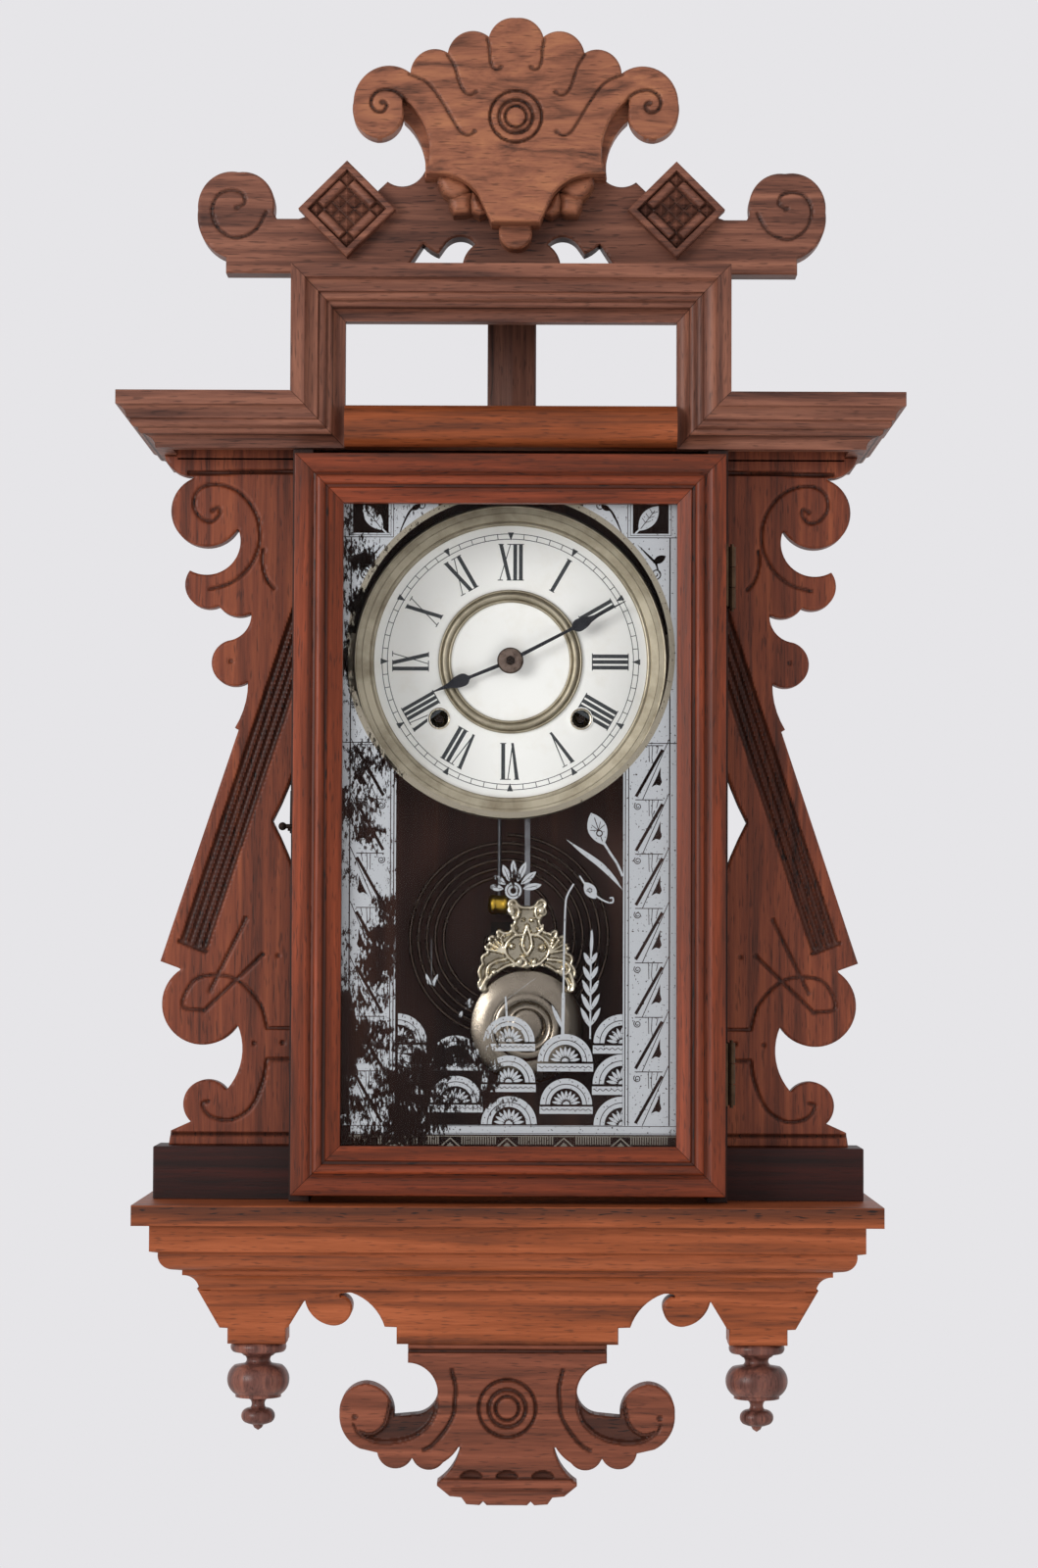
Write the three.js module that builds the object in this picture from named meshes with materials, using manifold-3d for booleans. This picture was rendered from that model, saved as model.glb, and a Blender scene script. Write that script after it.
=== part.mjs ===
// Carved walnut hanging clock with a glazed door, a metal dial on a deep pan, a spring-driven movement,
// a spiral wire gong and a pendulum. Millimetres, +Z up, front faces -Y, the wall is the plane y = 0 and
// the hands turn on the Y axis (x = 0, z = 0).
import * as THREE from "three";
import { mergeVertices } from "three/addons/utils/BufferGeometryUtils.js";
import Module from "manifold-3d";

const wasm = await Module();
wasm.setup();

// ---- driving sizes ----
const TOUCH = 0.3; // running or glued gap between pieces that meet on a slanted or curved face
const CASE_W = 240; // over the case sides
const CASE_H = 425.5; // shelf top to the underside of the top board
const CASE_D = 104; // wall to the front edges of the sides
const SIDE_T = 11;
const BACK_T = 9;
const TOP_T = 11; // top board
const DIAL_DROP = 125; // hand axis below the underside of the top board

const DOOR_SIDE_SET = 2; // door edge inside the case side's face
const DOOR_T = 20;
const DOOR_FOOT_GAP = 4.5; // door bottom above the shelf
const DOOR_HEAD_GAP = 5; // door top below the cornice
const FRAME_W = 26.5; // stile and rail width
const GLASS_T = 2;
const GLASS_REBATE = 4.5; // width of the rebate that holds the glass
const REBATE_D = 8; // depth of the rebate from the back of the frame
const LATCH_OPEN_DEG = 100; // the latch hook is thrown up and back by this from the door's pin

const MOULD_W = 29; // width of the cornice moulding
const MOULD_D = 20; // how far it stands forward
const MOULD_BACK = 9; // thickness behind its lowest edge
const CORNICE_DROP = 11.5; // moulding bottom below the underside of the top board
const CORNICE_REACH = 76; // case side to the outer end of the top board's moulding, at its lowest edge
const RISER_OUT = 120.5; // outer faces of the bridge risers
const BRIDGE_H = 70.2; // cornice top to bridge top
const DECK_T = 11.7;
const POST_W = 28;
const POST_D = 18;
const FRIEZE_D = 19;

const CREST_RISE = 56.5; // deck to the top of the crest board's end scrolls
const CREST_T = 16;
const CREST_SET = 2; // crest board behind the front edge of the deck
const SHELL_BACK_T = 13; // shell's rear layer, with the full outline
const SHELL_FACE_T = 13; // shell's face layer, with its flanks cut back
const DIAMOND = 38; // side of the square block
const DIAMOND_T = 5;
const DIAMOND_X = 91.3; // block centre from the middle
const DIAMOND_Z = 34.6; // block centre above the deck

const WING_T = 12;
const WING_SET = 40; // back of the wing boards behind the front edges of the sides
const WING_REACH = 74; // case side to the tip of the wing
const PLINTH_H = 29;
const PLINTH_W = 76;
const PLINTH_SET = 16; // plinth blocks' front behind the front edges of the sides
const PLINTH_D = 36;

const SHELF_W = 405;
const SHELF_PROUD = 35; // shelf's front edge before the front edges of the sides
const SHELF_T = 11;
const BASE_H = 37; // moulding under the shelf
const BASE_D = 30; // how far its top band stands out from its back
const BASE_SET = 9; // moulding band behind the shelf edge
const APRON_T = 20;
const APRON_DROP = 30; // apron below the base moulding
const PENDANT_X = 137.3; // finial centres
const PENDANT_T = 32; // square foot that carries a finial
const ORNAMENT_T = 18;
const ORNAMENT_SET = 2; // bottom ornament behind the apron's face
const FINIAL_R = 17.1;
const CREST_ROUNDEL_R = 14.2; // outer ring turned in the shell
const CREST_ROUNDEL_Z = 82.3; // its centre above the deck
const DROP_ROUNDEL_R = 15.6; // outer ring turned in the carved drop
const DROP_ROUNDEL_Z = 34.8; // its centre below the drop's top

const DIAL_R = 77; // visible white of the dial
const PAN_D = 47.8; // back board to the dial's front edge
const PAN_T = 1.2; // sheet
const PAN_FRONT_R = 87.4; // inner radius behind the bezel
const PAN_REAR_R = 90.4;
const PAN_FLANGE_R = 94;
const DIAL_T = 1;
const CENTRE_RING_IN = 33.5;
const CENTRE_RING_OUT = 40.7;
const WIND_X = 40; // winding arbors
const WIND_Z = -32.4;
const WIND_HOLE_R = 5.2;
const MINUTE_LEN = 73;
const HOUR_LEN = 47.5;
const MINUTE_DEG = 62.5; // hands as photographed, clockwise from twelve
const HOUR_DEG = 248;

const PLATE_T = 1.8;
const PLATE_FEET = 5.2; // back plate stands off the board
const PLATE_GAP = 24; // between the movement plates
const ARBOR_R = 1.3;
const PIVOT_GAP = 0.35;
const WHEEL_T = 1.4;
const PENDULUM_X = 10;
const PENDULUM_Z = 63; // suspension above the hand axis
const BOB_DROP = 269; // suspension to the middle of the bob
const BOB_R = 32;
const BOB_T = 9;
const CAST_H = 39.4; // casting above the bob's rim
const ROD_IN = 20; // the rod ends this far above the bob's rim, in the casting
const ROD_W = 3;
const ROD_T = 1.2;

const GONG_X = -1.6;
const GONG_Z = -155.8;
const GONG_WIRE = 2.2;
const GONG_PITCH = 4.8;
const GONG_LOOPS = 5;
const GONG_R = 60; // outer turn
const GONG_Y = 21; // wall to the plane of the turns
const GONG_BLOCK = 18;
const HAMMER_Z = -50;
const HAMMER_DROP = 87;

// ---- levels that follow ----
const CASE_X = CASE_W / 2;
const SHELF_Z = DIAL_DROP - CASE_H;
const ROOF_Z = DIAL_DROP; // underside of the top board
const DOOR_X = CASE_X - DOOR_SIDE_SET;
const DOOR_Z0 = SHELF_Z + DOOR_FOOT_GAP;
const DOOR_Y1 = -CASE_D; // back of the door
const DOOR_Y0 = DOOR_Y1 - DOOR_T;
const CORNICE_Z0 = ROOF_Z - CORNICE_DROP;
const DOOR_Z1 = CORNICE_Z0 - DOOR_HEAD_GAP;
const CORNICE_Z1 = CORNICE_Z0 + MOULD_W;
const BRIDGE_Z1 = CORNICE_Z1 + BRIDGE_H;
const DECK_Z0 = BRIDGE_Z1 - DECK_T;
const MOULD_Y = -(CASE_D + 3); // plane from which the moulding stands forward
const CORNICE_X = CASE_X + CORNICE_REACH;
const BACK_Y = -BACK_T;
const BASE_Z1 = SHELF_Z - SHELF_T;
const BASE_Z0 = BASE_Z1 - BASE_H;
const SHELF_D = CASE_D + SHELF_PROUD;
const BASE_X = SHELF_W / 2 - BASE_SET - BASE_D; // back face of the base moulding's returns
const BASE_Y = -(SHELF_D - BASE_SET - BASE_D);
const PLINTH_Z = SHELF_Z + PLINTH_H;
const WING_Y = CASE_D - WING_SET;
const PLINTH_FRONT = CASE_D - PLINTH_SET;

// ---- small helpers ----
const rad = (deg) => (deg * Math.PI) / 180;

/** A closed outline from [x, z] corners and [mx, mz, x, z] arcs that pass through a middle point. */
function outline(steps, degreesPerStep = 24) {
  const out = [steps[0].slice(0, 2)];
  for (const s of steps.slice(1)) {
    const [ax, ay] = out[out.length - 1];
    if (s.length === 2) {
      out.push(s);
      continue;
    }
    const [bx, by, cx, cy] = s;
    const d = 2 * (ax * (by - cy) + bx * (cy - ay) + cx * (ay - by));
    const qa = ax * ax + ay * ay;
    const qb = bx * bx + by * by;
    const qc = cx * cx + cy * cy;
    const ox = (qa * (by - cy) + qb * (cy - ay) + qc * (ay - by)) / d;
    const oy = (qa * (cx - bx) + qb * (ax - cx) + qc * (bx - ax)) / d;
    const r = Math.hypot(ax - ox, ay - oy);
    const from = Math.atan2(ay - oy, ax - ox);
    let sweep = Math.atan2(cy - oy, cx - ox) - from;
    const side = Math.sign(d);
    while (sweep * side < 0) sweep += side * 2 * Math.PI;
    while (sweep * side > 2 * Math.PI) sweep -= side * 2 * Math.PI;
    const n = Math.max(2, Math.ceil(Math.abs(sweep) / rad(degreesPerStep)));
    for (let i = 1; i < n; i++) {
      const t = from + (sweep * i) / n;
      out.push([ox + r * Math.cos(t), oy + r * Math.sin(t)]);
    }
    out.push([cx, cy]);
  }
  return out;
}

const mirror = (points) => points.map(([x, z]) => [-x, z]).reverse();
/** Both halves of a symmetric outline, whose given right half starts and ends on x = 0. */
const bothHalves = (half) => [...half, ...mirror(half).slice(1, -1)];
const moved = (points, dx, dz, sx = 1, sz = 1) => points.map(([x, z]) => [dx + x * sx, dz + z * sz]);
const turned = (points, deg) =>
  points.map(([x, z]) => [
    x * Math.cos(rad(deg)) + z * Math.sin(rad(deg)),
    z * Math.cos(rad(deg)) - x * Math.sin(rad(deg)),
  ]);

/** A closed manifold-3d solid from a closed geometry, turned the right way out. */
function solid(geometry) {
  const bare = geometry.index ? geometry.toNonIndexed() : geometry.clone();
  for (const name of Object.keys(bare.attributes)) if (name !== "position") bare.deleteAttribute(name);
  const merged = mergeVertices(bare, 1e-4);
  const p = merged.attributes.position;
  const tris = [];
  let volume = 0;
  const v = [new THREE.Vector3(), new THREE.Vector3(), new THREE.Vector3()];
  for (let i = 0; i < merged.index.count; i += 3) {
    const t = [0, 1, 2].map((k) => merged.index.getX(i + k));
    if (t[0] === t[1] || t[1] === t[2] || t[2] === t[0]) continue;
    tris.push(t);
    t.forEach((j, k) => v[k].fromBufferAttribute(p, j));
    volume += v[0].dot(v[1].clone().cross(v[2]));
  }
  const flat = tris.flatMap((t) => (volume < 0 ? [t[0], t[2], t[1]] : t));
  return new wasm.Manifold(
    new wasm.Mesh({ numProp: 3, vertProperties: new Float32Array(p.array), triVerts: new Uint32Array(flat) }),
  );
}

function geometryOf(made) {
  const m = made.getMesh();
  const g = new THREE.BufferGeometry();
  g.setAttribute("position", new THREE.BufferAttribute(Float32Array.from(m.vertProperties), 3));
  g.setIndex(new THREE.BufferAttribute(Uint32Array.from(m.triVerts), 1));
  g.computeVertexNormals();
  return g;
}

/** A board: an x-z outline with holes, from y = back forward by its thickness. */
function board(points, back, thickness, holes = []) {
  const rim = points.map(([x, z]) => new THREE.Vector2(x, z));
  const shape = new THREE.Shape(THREE.ShapeUtils.isClockWise(rim) ? rim.reverse() : rim);
  for (const h of holes) shape.holes.push(new THREE.Path(h.map(([x, z]) => new THREE.Vector2(x, z))));
  const g = new THREE.ExtrudeGeometry(shape, { depth: thickness, bevelEnabled: false });
  return solid(g.rotateX(Math.PI / 2).translate(0, back, 0));
}

function block(x0, x1, y0, y1, z0, z1) {
  const g = new THREE.BoxGeometry(Math.abs(x1 - x0), Math.abs(y1 - y0), Math.abs(z1 - z0));
  return solid(g.translate((x0 + x1) / 2, (y0 + y1) / 2, (z0 + z1) / 2));
}

/** A round bar along Y. */
function bar(r, y0, y1, x = 0, z = 0, sides = 12) {
  const g = new THREE.CylinderGeometry(r, r, Math.abs(y1 - y0), sides);
  return solid(g.translate(x, (y0 + y1) / 2, z));
}

/** A turning about the Y axis through (x, z), from [radius, y] points. */
function turnedAboutY(profile, sides, x = 0, z = 0) {
  const g = new THREE.LatheGeometry(profile.map(([r, y]) => new THREE.Vector2(r, y)), sides);
  return solid(g.translate(x, 0, z));
}

/** A turning about a vertical axis, from [radius, z] points. */
function turnedAboutZ(profile, sides, x, y) {
  const g = new THREE.LatheGeometry(profile.map(([r, z]) => new THREE.Vector2(r, z)), sides);
  return solid(g.rotateX(Math.PI / 2).translate(x, y, 0));
}

/** A solid between stations: each station maps every profile point to space, and the ends are capped. */
function sweep(profile, stations) {
  const n = profile.length;
  const rings = stations.map((at) => profile.map(([w, d]) => at(w, d)));
  const points = rings.flat(2);
  const index = [];
  for (let s = 0; s + 1 < rings.length; s++)
    for (let i = 0; i < n; i++) {
      const a = s * n + i;
      const b = s * n + ((i + 1) % n);
      index.push(a, b, b + n, a, b + n, a + n);
    }
  const cap = THREE.ShapeUtils.triangulateShape(profile.map(([w, d]) => new THREE.Vector2(w, d)), []);
  const last = (rings.length - 1) * n;
  for (const [a, b, c] of cap) index.push(a, c, b, last + a, last + b, last + c);
  const area = THREE.ShapeUtils.area(profile.map(([w, d]) => new THREE.Vector2(w, d)));
  if (area < 0) throw new Error("profiles run anticlockwise");
  const g = new THREE.BufferGeometry();
  g.setAttribute("position", new THREE.Float32BufferAttribute(points, 3));
  g.setIndex(index);
  return solid(g);
}

// ---- materials ----
const finish = (color, roughness, metalness = 0) => ({ color, roughness, metalness });
const WALNUT = finish(0x7a3f28, 0.42);
const WALNUT_DOOR = finish(0x8a3d22, 0.36);
const WALNUT_DARK = finish(0x4a2a22, 0.5);
const WALNUT_LIGHT = finish(0x8f5236, 0.45);
const PINE = finish(0x6b4a34, 0.7);
const NICKEL = finish(0xa89f8a, 0.32, 0.9);
const SILVER = finish(0xb9b6ae, 0.35, 0.9);
const BRASS = finish(0xb08d4a, 0.38, 0.9);
const STEEL = finish(0x55565a, 0.4, 0.9);
const BLUED = finish(0x2d2f38, 0.4, 0.6);
const ENAMEL = finish(0xe6e6e0, 0.5);
const IRON = finish(0x2a2725, 0.6, 0.5);

const clock = new THREE.Group();
function add(name, made, look, parent = clock) {
  const mesh = new THREE.Mesh(geometryOf(made), new THREE.MeshStandardMaterial(look));
  mesh.name = name;
  parent.add(mesh);
  return mesh;
}
function clearGlass() {
  return { color: 0xdfe6e4, roughness: 0.05, metalness: 0, transparent: true, opacity: 0.25 };
}

// ---- case ----
const plateW = 28; // hanger plate
const plateH = 36;
const plateTop = ROOF_Z - 3;
const hangerPocket = block(-plateW / 2 - TOUCH, plateW / 2 + TOUCH, -1.9, 1, plateTop - plateH - TOUCH, ROOF_Z + 1);
const nailPocket = block(-6, 6, -6, 1, plateTop - plateH + 8, plateTop - 8);
add(
  "back_board",
  block(-CASE_X, CASE_X, BACK_Y, 0, SHELF_Z, ROOF_Z).subtract(hangerPocket).subtract(nailPocket),
  PINE,
);
const keyhole = outline([
  [-2, plateTop - 12],
  [0, plateTop - 9.5, 2, plateTop - 12],
  [2, plateTop - 21],
  [0, plateTop - 29, -2, plateTop - 21],
]);
add(
  "hanger_plate",
  board(
    [
      [-plateW / 2, plateTop - plateH],
      [plateW / 2, plateTop - plateH],
      [plateW / 2, plateTop],
      [-plateW / 2, plateTop],
    ],
    -0.2,
    1.6,
    [keyhole],
  ),
  STEEL,
);
const deckFront = MOULD_Y + MOULD_BACK;
// the sides are notched at their heads for the cornice and the frieze
const corniceNotch = block(-CASE_X - 1, CASE_X + 1, -CASE_D - 1, deckFront, CORNICE_Z0, ROOF_Z + 1);
for (const [name, s] of [["left", -1], ["right", 1]])
  add(
    "case_side_" + name,
    block(s * CASE_X, s * (CASE_X - SIDE_T), -CASE_D, BACK_Y, SHELF_Z, ROOF_Z).subtract(corniceNotch),
    WALNUT_DARK,
  );
add(
  "case_top",
  block(-(CORNICE_X - MOULD_BACK), CORNICE_X - MOULD_BACK, deckFront, 0, ROOF_Z, ROOF_Z + TOP_T),
  WALNUT_DARK,
);
add("bridge_deck", block(-RISER_OUT, RISER_OUT, deckFront, 0, DECK_Z0, BRIDGE_Z1), WALNUT_DARK);
add("spine_post", block(-POST_W / 2, POST_W / 2, -POST_D, 0, ROOF_Z + TOP_T, DECK_Z0), WALNUT_DARK);

// ---- cornice and bridge: one moulding, mitred at every corner ----
const W = MOULD_W / 29;
const D = MOULD_D / 20;
const mouldProfile = outline(
  [
    [0, -MOULD_BACK],
    [29 * W, -MOULD_BACK],
    [29 * W, 0],
    [25 * W, 1.2 * D, 22.8 * W, 4.5 * D],
    [22.3 * W, 5.8 * D],
    [21.6 * W, 8 * D, 19.6 * W, 8.6 * D],
    [19 * W, 9.5 * D],
    [18.2 * W, 11.9 * D, 15 * W, 12.6 * D],
    [14.5 * W, 14.5 * D],
    [10.2 * W, 15.9 * D, 7.6 * W, 20 * D],
    [0, 20 * D],
  ],
  40,
);
const half = TOUCH / 2;
for (const [name, s] of [["left", -1], ["right", 1]]) {
  add(
    "cornice_" + name,
    sweep(mouldProfile, [
      (w, d) => [s * (CORNICE_X + d - half), MOULD_Y - d, CORNICE_Z1 - w],
      (w, d) => [s * (RISER_OUT - w + half), MOULD_Y - d, CORNICE_Z1 - w],
    ]),
    WALNUT,
  );
  add(
    "cornice_return_" + name,
    sweep(mouldProfile, [
      (w, d) => [s * (CORNICE_X + d), MOULD_Y - d + half, CORNICE_Z1 - w],
      (w, d) => [s * (CORNICE_X + d), 0, CORNICE_Z1 - w],
    ]),
    WALNUT,
  );
  add(
    "bridge_riser_" + name,
    sweep(mouldProfile, [
      (w, d) => [s * (RISER_OUT - w), MOULD_Y - d, CORNICE_Z1 - w + half],
      (w, d) => [s * (RISER_OUT - w), MOULD_Y - d, BRIDGE_Z1 - w - half],
    ]),
    WALNUT,
  );
}
add(
  "bridge_rail",
  sweep(mouldProfile, [
    (w, d) => [-(RISER_OUT - w - half), MOULD_Y - d, BRIDGE_Z1 - w],
    (w, d) => [RISER_OUT - w - half, MOULD_Y - d, BRIDGE_Z1 - w],
  ]),
  WALNUT,
);
// the frieze: a swelling rail between the risers, over the door
const friezeX = RISER_OUT - MOULD_W;
const friezeH = ROOF_Z + TOP_T + 1 - CORNICE_Z0;
const friezeProfile = outline(
  [
    [0, 0],
    [friezeH, 0],
    [friezeH, FRIEZE_D * 0.55],
    [friezeH * 0.62, FRIEZE_D * 1.02, friezeH * 0.3, FRIEZE_D * 0.96],
    [friezeH * 0.1, FRIEZE_D * 0.84, 0, FRIEZE_D * 0.62],
  ],
  20,
);
add(
  "frieze_rail",
  sweep(friezeProfile, [
    (h, d) => [-friezeX, deckFront - d, CORNICE_Z0 + h],
    (h, d) => [friezeX, deckFront - d, CORNICE_Z0 + h],
  ]),
  WALNUT,
);

// ---- crest ----
const crestFront = deckFront + CREST_SET;
const crestHalf = outline([
  [0, 62],
  [44, 62],
  [48.6, 54.1],
  [60, 46.5, 69.1, 49],
  [75, 43.6],
  [118.2, 29],
  [130.6, 29],
  [132.4, 32],
  [137.2, 49, 152, 53.8],
  [170.5, 47, 174.5, 33.5],
  [171.5, 18.5, 158.7, 8.3],
  [158.7, 0],
  [60, 0],
  [49.1, 16],
  [44.5, 12.4, 40.5, 10.6],
  [36.8, 15.6],
  [28, 19.6, 20.1, 15.6],
  [25.8, 9.5, 27, 0],
  [0, 0],
]);
const cz = CREST_RISE / 53.8; // the outlines below are drawn for scrolls 53.8 high
const crestShape = (half) => moved(bothHalves(half), 0, BRIDGE_Z1, 1, cz);
add("crest_board", board(crestShape(crestHalf), crestFront + CREST_T, CREST_T), WALNUT);

/** A ring-shaped groove of V section in a face at y = front. */
function ringGroove(x, z, front, r, width, depth) {
  return turnedAboutY(
    [
      [r - width / 2, front - 1],
      [r + width / 2, front - 1],
      [r + width / 2, front],
      [r, front + depth],
      [r - width / 2, front],
      [r - width / 2, front - 1],
    ],
    18,
    x,
    z,
  );
}
const shellTop = [
  [0, 130.6],
  [12.5, 125.4, 15, 120.5],
  [28, 122.9, 37.6, 112],
  [49.5, 113, 58.1, 101.3],
  [78, 103.2, 89.3, 85.9],
  [86, 72, 76.3, 66.6],
  [65, 71.5, 62.3, 84],
];
const shellFoot = [
  [42.8, 48.4],
  [30.5, 45.8, 20.9, 38.2],
  [16.5, 31, 13.2, 23.4],
  [8.5, 23.2],
  [7.6, 14.6, 3.4, 11.2],
  [0, 10.8],
];
const shellBack = outline([...shellTop, [63, 80], [53, 67.5, 50.3, 48.4], ...shellFoot]);
const shellFace = outline([...shellTop, [62, 88], [48.6, 69.5, 49.3, 48.4], ...shellFoot]);
const shellY = crestFront;
const faceY = shellY - SHELL_BACK_T - SHELL_FACE_T;
let shell = board(crestShape(shellBack), shellY, SHELL_BACK_T);
shell = shell.add(board(crestShape(shellFace), shellY - SHELL_BACK_T + 0.5, SHELL_FACE_T + 0.5));
// three overlapping leaves stand out on each side below the face
const leaves = outline([
  [36, 49.5],
  [43, 49.8],
  [43.6, 44, 40.2, 39.4],
  [36.8, 37],
  [36.8, 32.6],
  [34.3, 28.5],
  [24.5, 30],
  [20, 27.4, 15.4, 29.4],
  [17.5, 34],
  [21, 39],
  [28, 46],
]);
for (const s of [-1, 1])
  shell = shell.add(board(moved(leaves, 0, BRIDGE_Z1, s, cz), shellY, SHELL_BACK_T + SHELL_FACE_T / 3));
const roundelZ = BRIDGE_Z1 + CREST_ROUNDEL_Z;
const ringsOf = (r) => [[r, r * 0.14], [r * 0.65, r * 0.18], [r * 0.41, r * 0.115]];
for (const [r, width] of ringsOf(CREST_ROUNDEL_R))
  shell = shell.subtract(ringGroove(0, roundelZ, faceY, r, width, 1.8));
add("crest_shell", shell, WALNUT_LIGHT);

/** A square block set on its corner: a raised border, edge bars, corner and middle pyramids. */
function diamondBlock(x, z, back) {
  const a = DIAMOND / 2;
  const inner = a - 4;
  const square = (h) => [[-h, -h], [h, -h], [h, h], [-h, h]];
  let made = board(square(a), 0, DIAMOND_T);
  made = made.add(board(square(a), -DIAMOND_T + 0.5, 3, [square(inner)]));
  const cell = (2 * inner) / 5;
  for (let i = -2; i <= 2; i++)
    for (let j = -2; j <= 2; j++) {
      const edge = Math.abs(i) === 2 || Math.abs(j) === 2;
      if (edge && Math.abs(i) !== Math.abs(j) && (i !== 0 && j !== 0)) continue;
      const long = edge && Math.abs(i) !== Math.abs(j);
      const g = new THREE.ConeGeometry((cell * Math.SQRT2) / 2 - 0.2, long ? 1.8 : 2.6, 4, 1);
      g.rotateY(Math.PI / 4).rotateX(Math.PI / 2);
      if (long) g.scale(j !== 0 && i === 0 ? 2.9 : 1, 1, i !== 0 && j === 0 ? 2.9 : 1);
      made = made.add(solid(g.translate(i * cell, -DIAMOND_T - (long ? 0.8 : 1.2), j * cell)));
    }
  return made.rotate([0, 45, 0]).translate([x, back, z]);
}
for (const [name, s] of [["left", -1], ["right", 1]])
  add("diamond_block_" + name, diamondBlock(s * DIAMOND_X, BRIDGE_Z1 + DIAMOND_Z, crestFront), WALNUT);

// ---- wings: pierced scroll boards on plinth blocks ----
const wingFoot = PLINTH_Z;
const wingHeight = CORNICE_Z0 - wingFoot;
const wx = WING_REACH / 74;
const wz = wingHeight / 385;
// the outline's x is measured from the case side and z from the plinth top
const wingOutline = outline([
  [0, 385],
  [74, 385],
  [69.5, 377.4, 58.4, 373.2],
  [57, 372.4],
  [70, 354, 32.5, 343.9],
  [38.2, 322, 59.3, 320.3],
  [61.4, 308.6, 42.9, 300.3],
  [33, 294.6, 24.8, 296.4],
  [29.4, 284.9, 37.9, 280.9],
  [46.8, 268.5, 26.4, 257.9],
  [28.3, 244, 33.5, 232.2],
  [31.4, 231.1],
  [74.1, 101.9],
  [62.3, 97.6],
  [70.8, 68.5, 30.8, 66.6],
  [28.2, 50.5, 36.6, 30.8],
  [58, 31, 56.5, 13],
  [67.5, 8],
  [68.6, 0],
  [0, 0],
  [0, 152.5],
  [6.5, 168.5, 12.2, 180.2],
  [6.3, 192.5, 0, 209.5],
]);
/** A V-shaped groove along a line in a face at y = front. */
function lineGroove([x0, z0], [x1, z1], front, width, depth) {
  const len = Math.hypot(x1 - x0, z1 - z0);
  const v = [[-width / 2, 0.5], [0, -depth], [width / 2, 0.5]];
  const [ux, uz] = [(x1 - x0) / len, (z1 - z0) / len];
  const at = (t) => (w, d) => [x0 + ux * t - uz * w, front - d, z0 + uz * t + ux * w];
  const ccw = THREE.ShapeUtils.area(v.map(([a, b]) => new THREE.Vector2(a, b))) > 0 ? v : v.reverse();
  return sweep(ccw, [at(0), at(len)]);
}
for (const [name, s] of [["left", -1], ["right", 1]]) {
  const points = moved(wingOutline, CASE_X, wingFoot, wx, wz).map(([x, z]) => [s * x, z]);
  let wing = board(points, -WING_Y, WING_T);
  // the wing's head carries on up behind the cornice to the top board
  wing = wing.add(
    block(s * CASE_X, s * (CORNICE_X - MOULD_BACK), -WING_Y, -WING_Y - WING_T, CORNICE_Z0 - 3, ROOF_Z),
  );
  const flute = ([a, b], [c, e]) => [
    [s * (CASE_X + a * wx), wingFoot + b * wz],
    [s * (CASE_X + c * wx), wingFoot + e * wz],
  ];
  for (let i = 0; i < 3; i++) {
    const [from, to] = flute([2.2, 288 - 15.2 * i], [62.4 - 4.6 * i, 111.2 - 1.9 * i]);
    wing = wing.subtract(lineGroove(from, to, -WING_Y - WING_T, 3.2, 1.8));
  }
  add("wing_board_" + name, wing, WALNUT_DARK);
  add(
    "plinth_block_" + name,
    block(s * CASE_X, s * (CASE_X + PLINTH_W), -PLINTH_FRONT, PLINTH_D - PLINTH_FRONT, SHELF_Z, PLINTH_Z),
    WALNUT_DARK,
  );
}

// ---- shelf, base moulding, apron ----
add("base_shelf", block(-SHELF_W / 2, SHELF_W / 2, -SHELF_D, 0, BASE_Z1, SHELF_Z), WALNUT_DOOR);
const B = BASE_H / 37;
const C = BASE_D / 30;
const baseProfile = outline(
  [
    [0, 0],
    [37 * B, 0],
    [37 * B, 5 * C],
    [31.5 * B, 7.2 * C, 28.5 * B, 13.5 * C],
    [25.8 * B, 13.5 * C],
    [25 * B, 18.5 * C],
    [21 * B, 24.5 * C, 15.4 * B, 25.6 * C],
    [14.4 * B, 30 * C],
    [0, 30 * C],
  ],
  24,
);
add(
  "base_moulding",
  sweep(baseProfile, [
    (w, d) => [-(BASE_X + d), 0, BASE_Z1 - w],
    (w, d) => [-(BASE_X + d), BASE_Y - d, BASE_Z1 - w],
    (w, d) => [BASE_X + d, BASE_Y - d, BASE_Z1 - w],
    (w, d) => [BASE_X + d, 0, BASE_Z1 - w],
  ]),
  WALNUT_DOOR,
);
const pendantIn = PENDANT_X - PENDANT_T / 2;
const pendantOut = PENDANT_X + PENDANT_T / 2;
const footZ = -APRON_DROP; // the apron's z is measured from the bottom of the base moulding
const apronHalf = outline([
  [0, BASE_H],
  [BASE_X, BASE_H],
  [BASE_X, 0],
  [BASE_X + 6.7, 0],
  [pendantOut + 4.4, footZ + 8.7],
  [pendantOut, footZ + 8.5],
  [pendantOut, footZ],
  [pendantIn, footZ],
  [pendantIn, footZ + 8.5],
  [pendantIn - 1.2, footZ + 9.1],
  [111, -6],
  [105.6, -15.6, 97, -19.8],
  [88, -17, 85.2, -8.6],
  [87.6, -4.8, 94.8, -4.1],
  [90.3, -2.3, 85.4, -2],
  [74.4, -8.8, 67.2, -20.5],
  [60.7, -20.7],
  [60.7, footZ],
  [0, footZ],
]);
let apron = board(moved(bothHalves(apronHalf), 0, BASE_Z0), BASE_Y + APRON_T, APRON_T);
for (const s of [-1, 1])
  apron = apron.add(
    block(s * pendantIn, s * pendantOut, BASE_Y + APRON_T - 0.5, BASE_Y + PENDANT_T, BASE_Z0 + footZ, BASE_Z0),
  );
add("apron_board", apron, WALNUT_DOOR);

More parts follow.
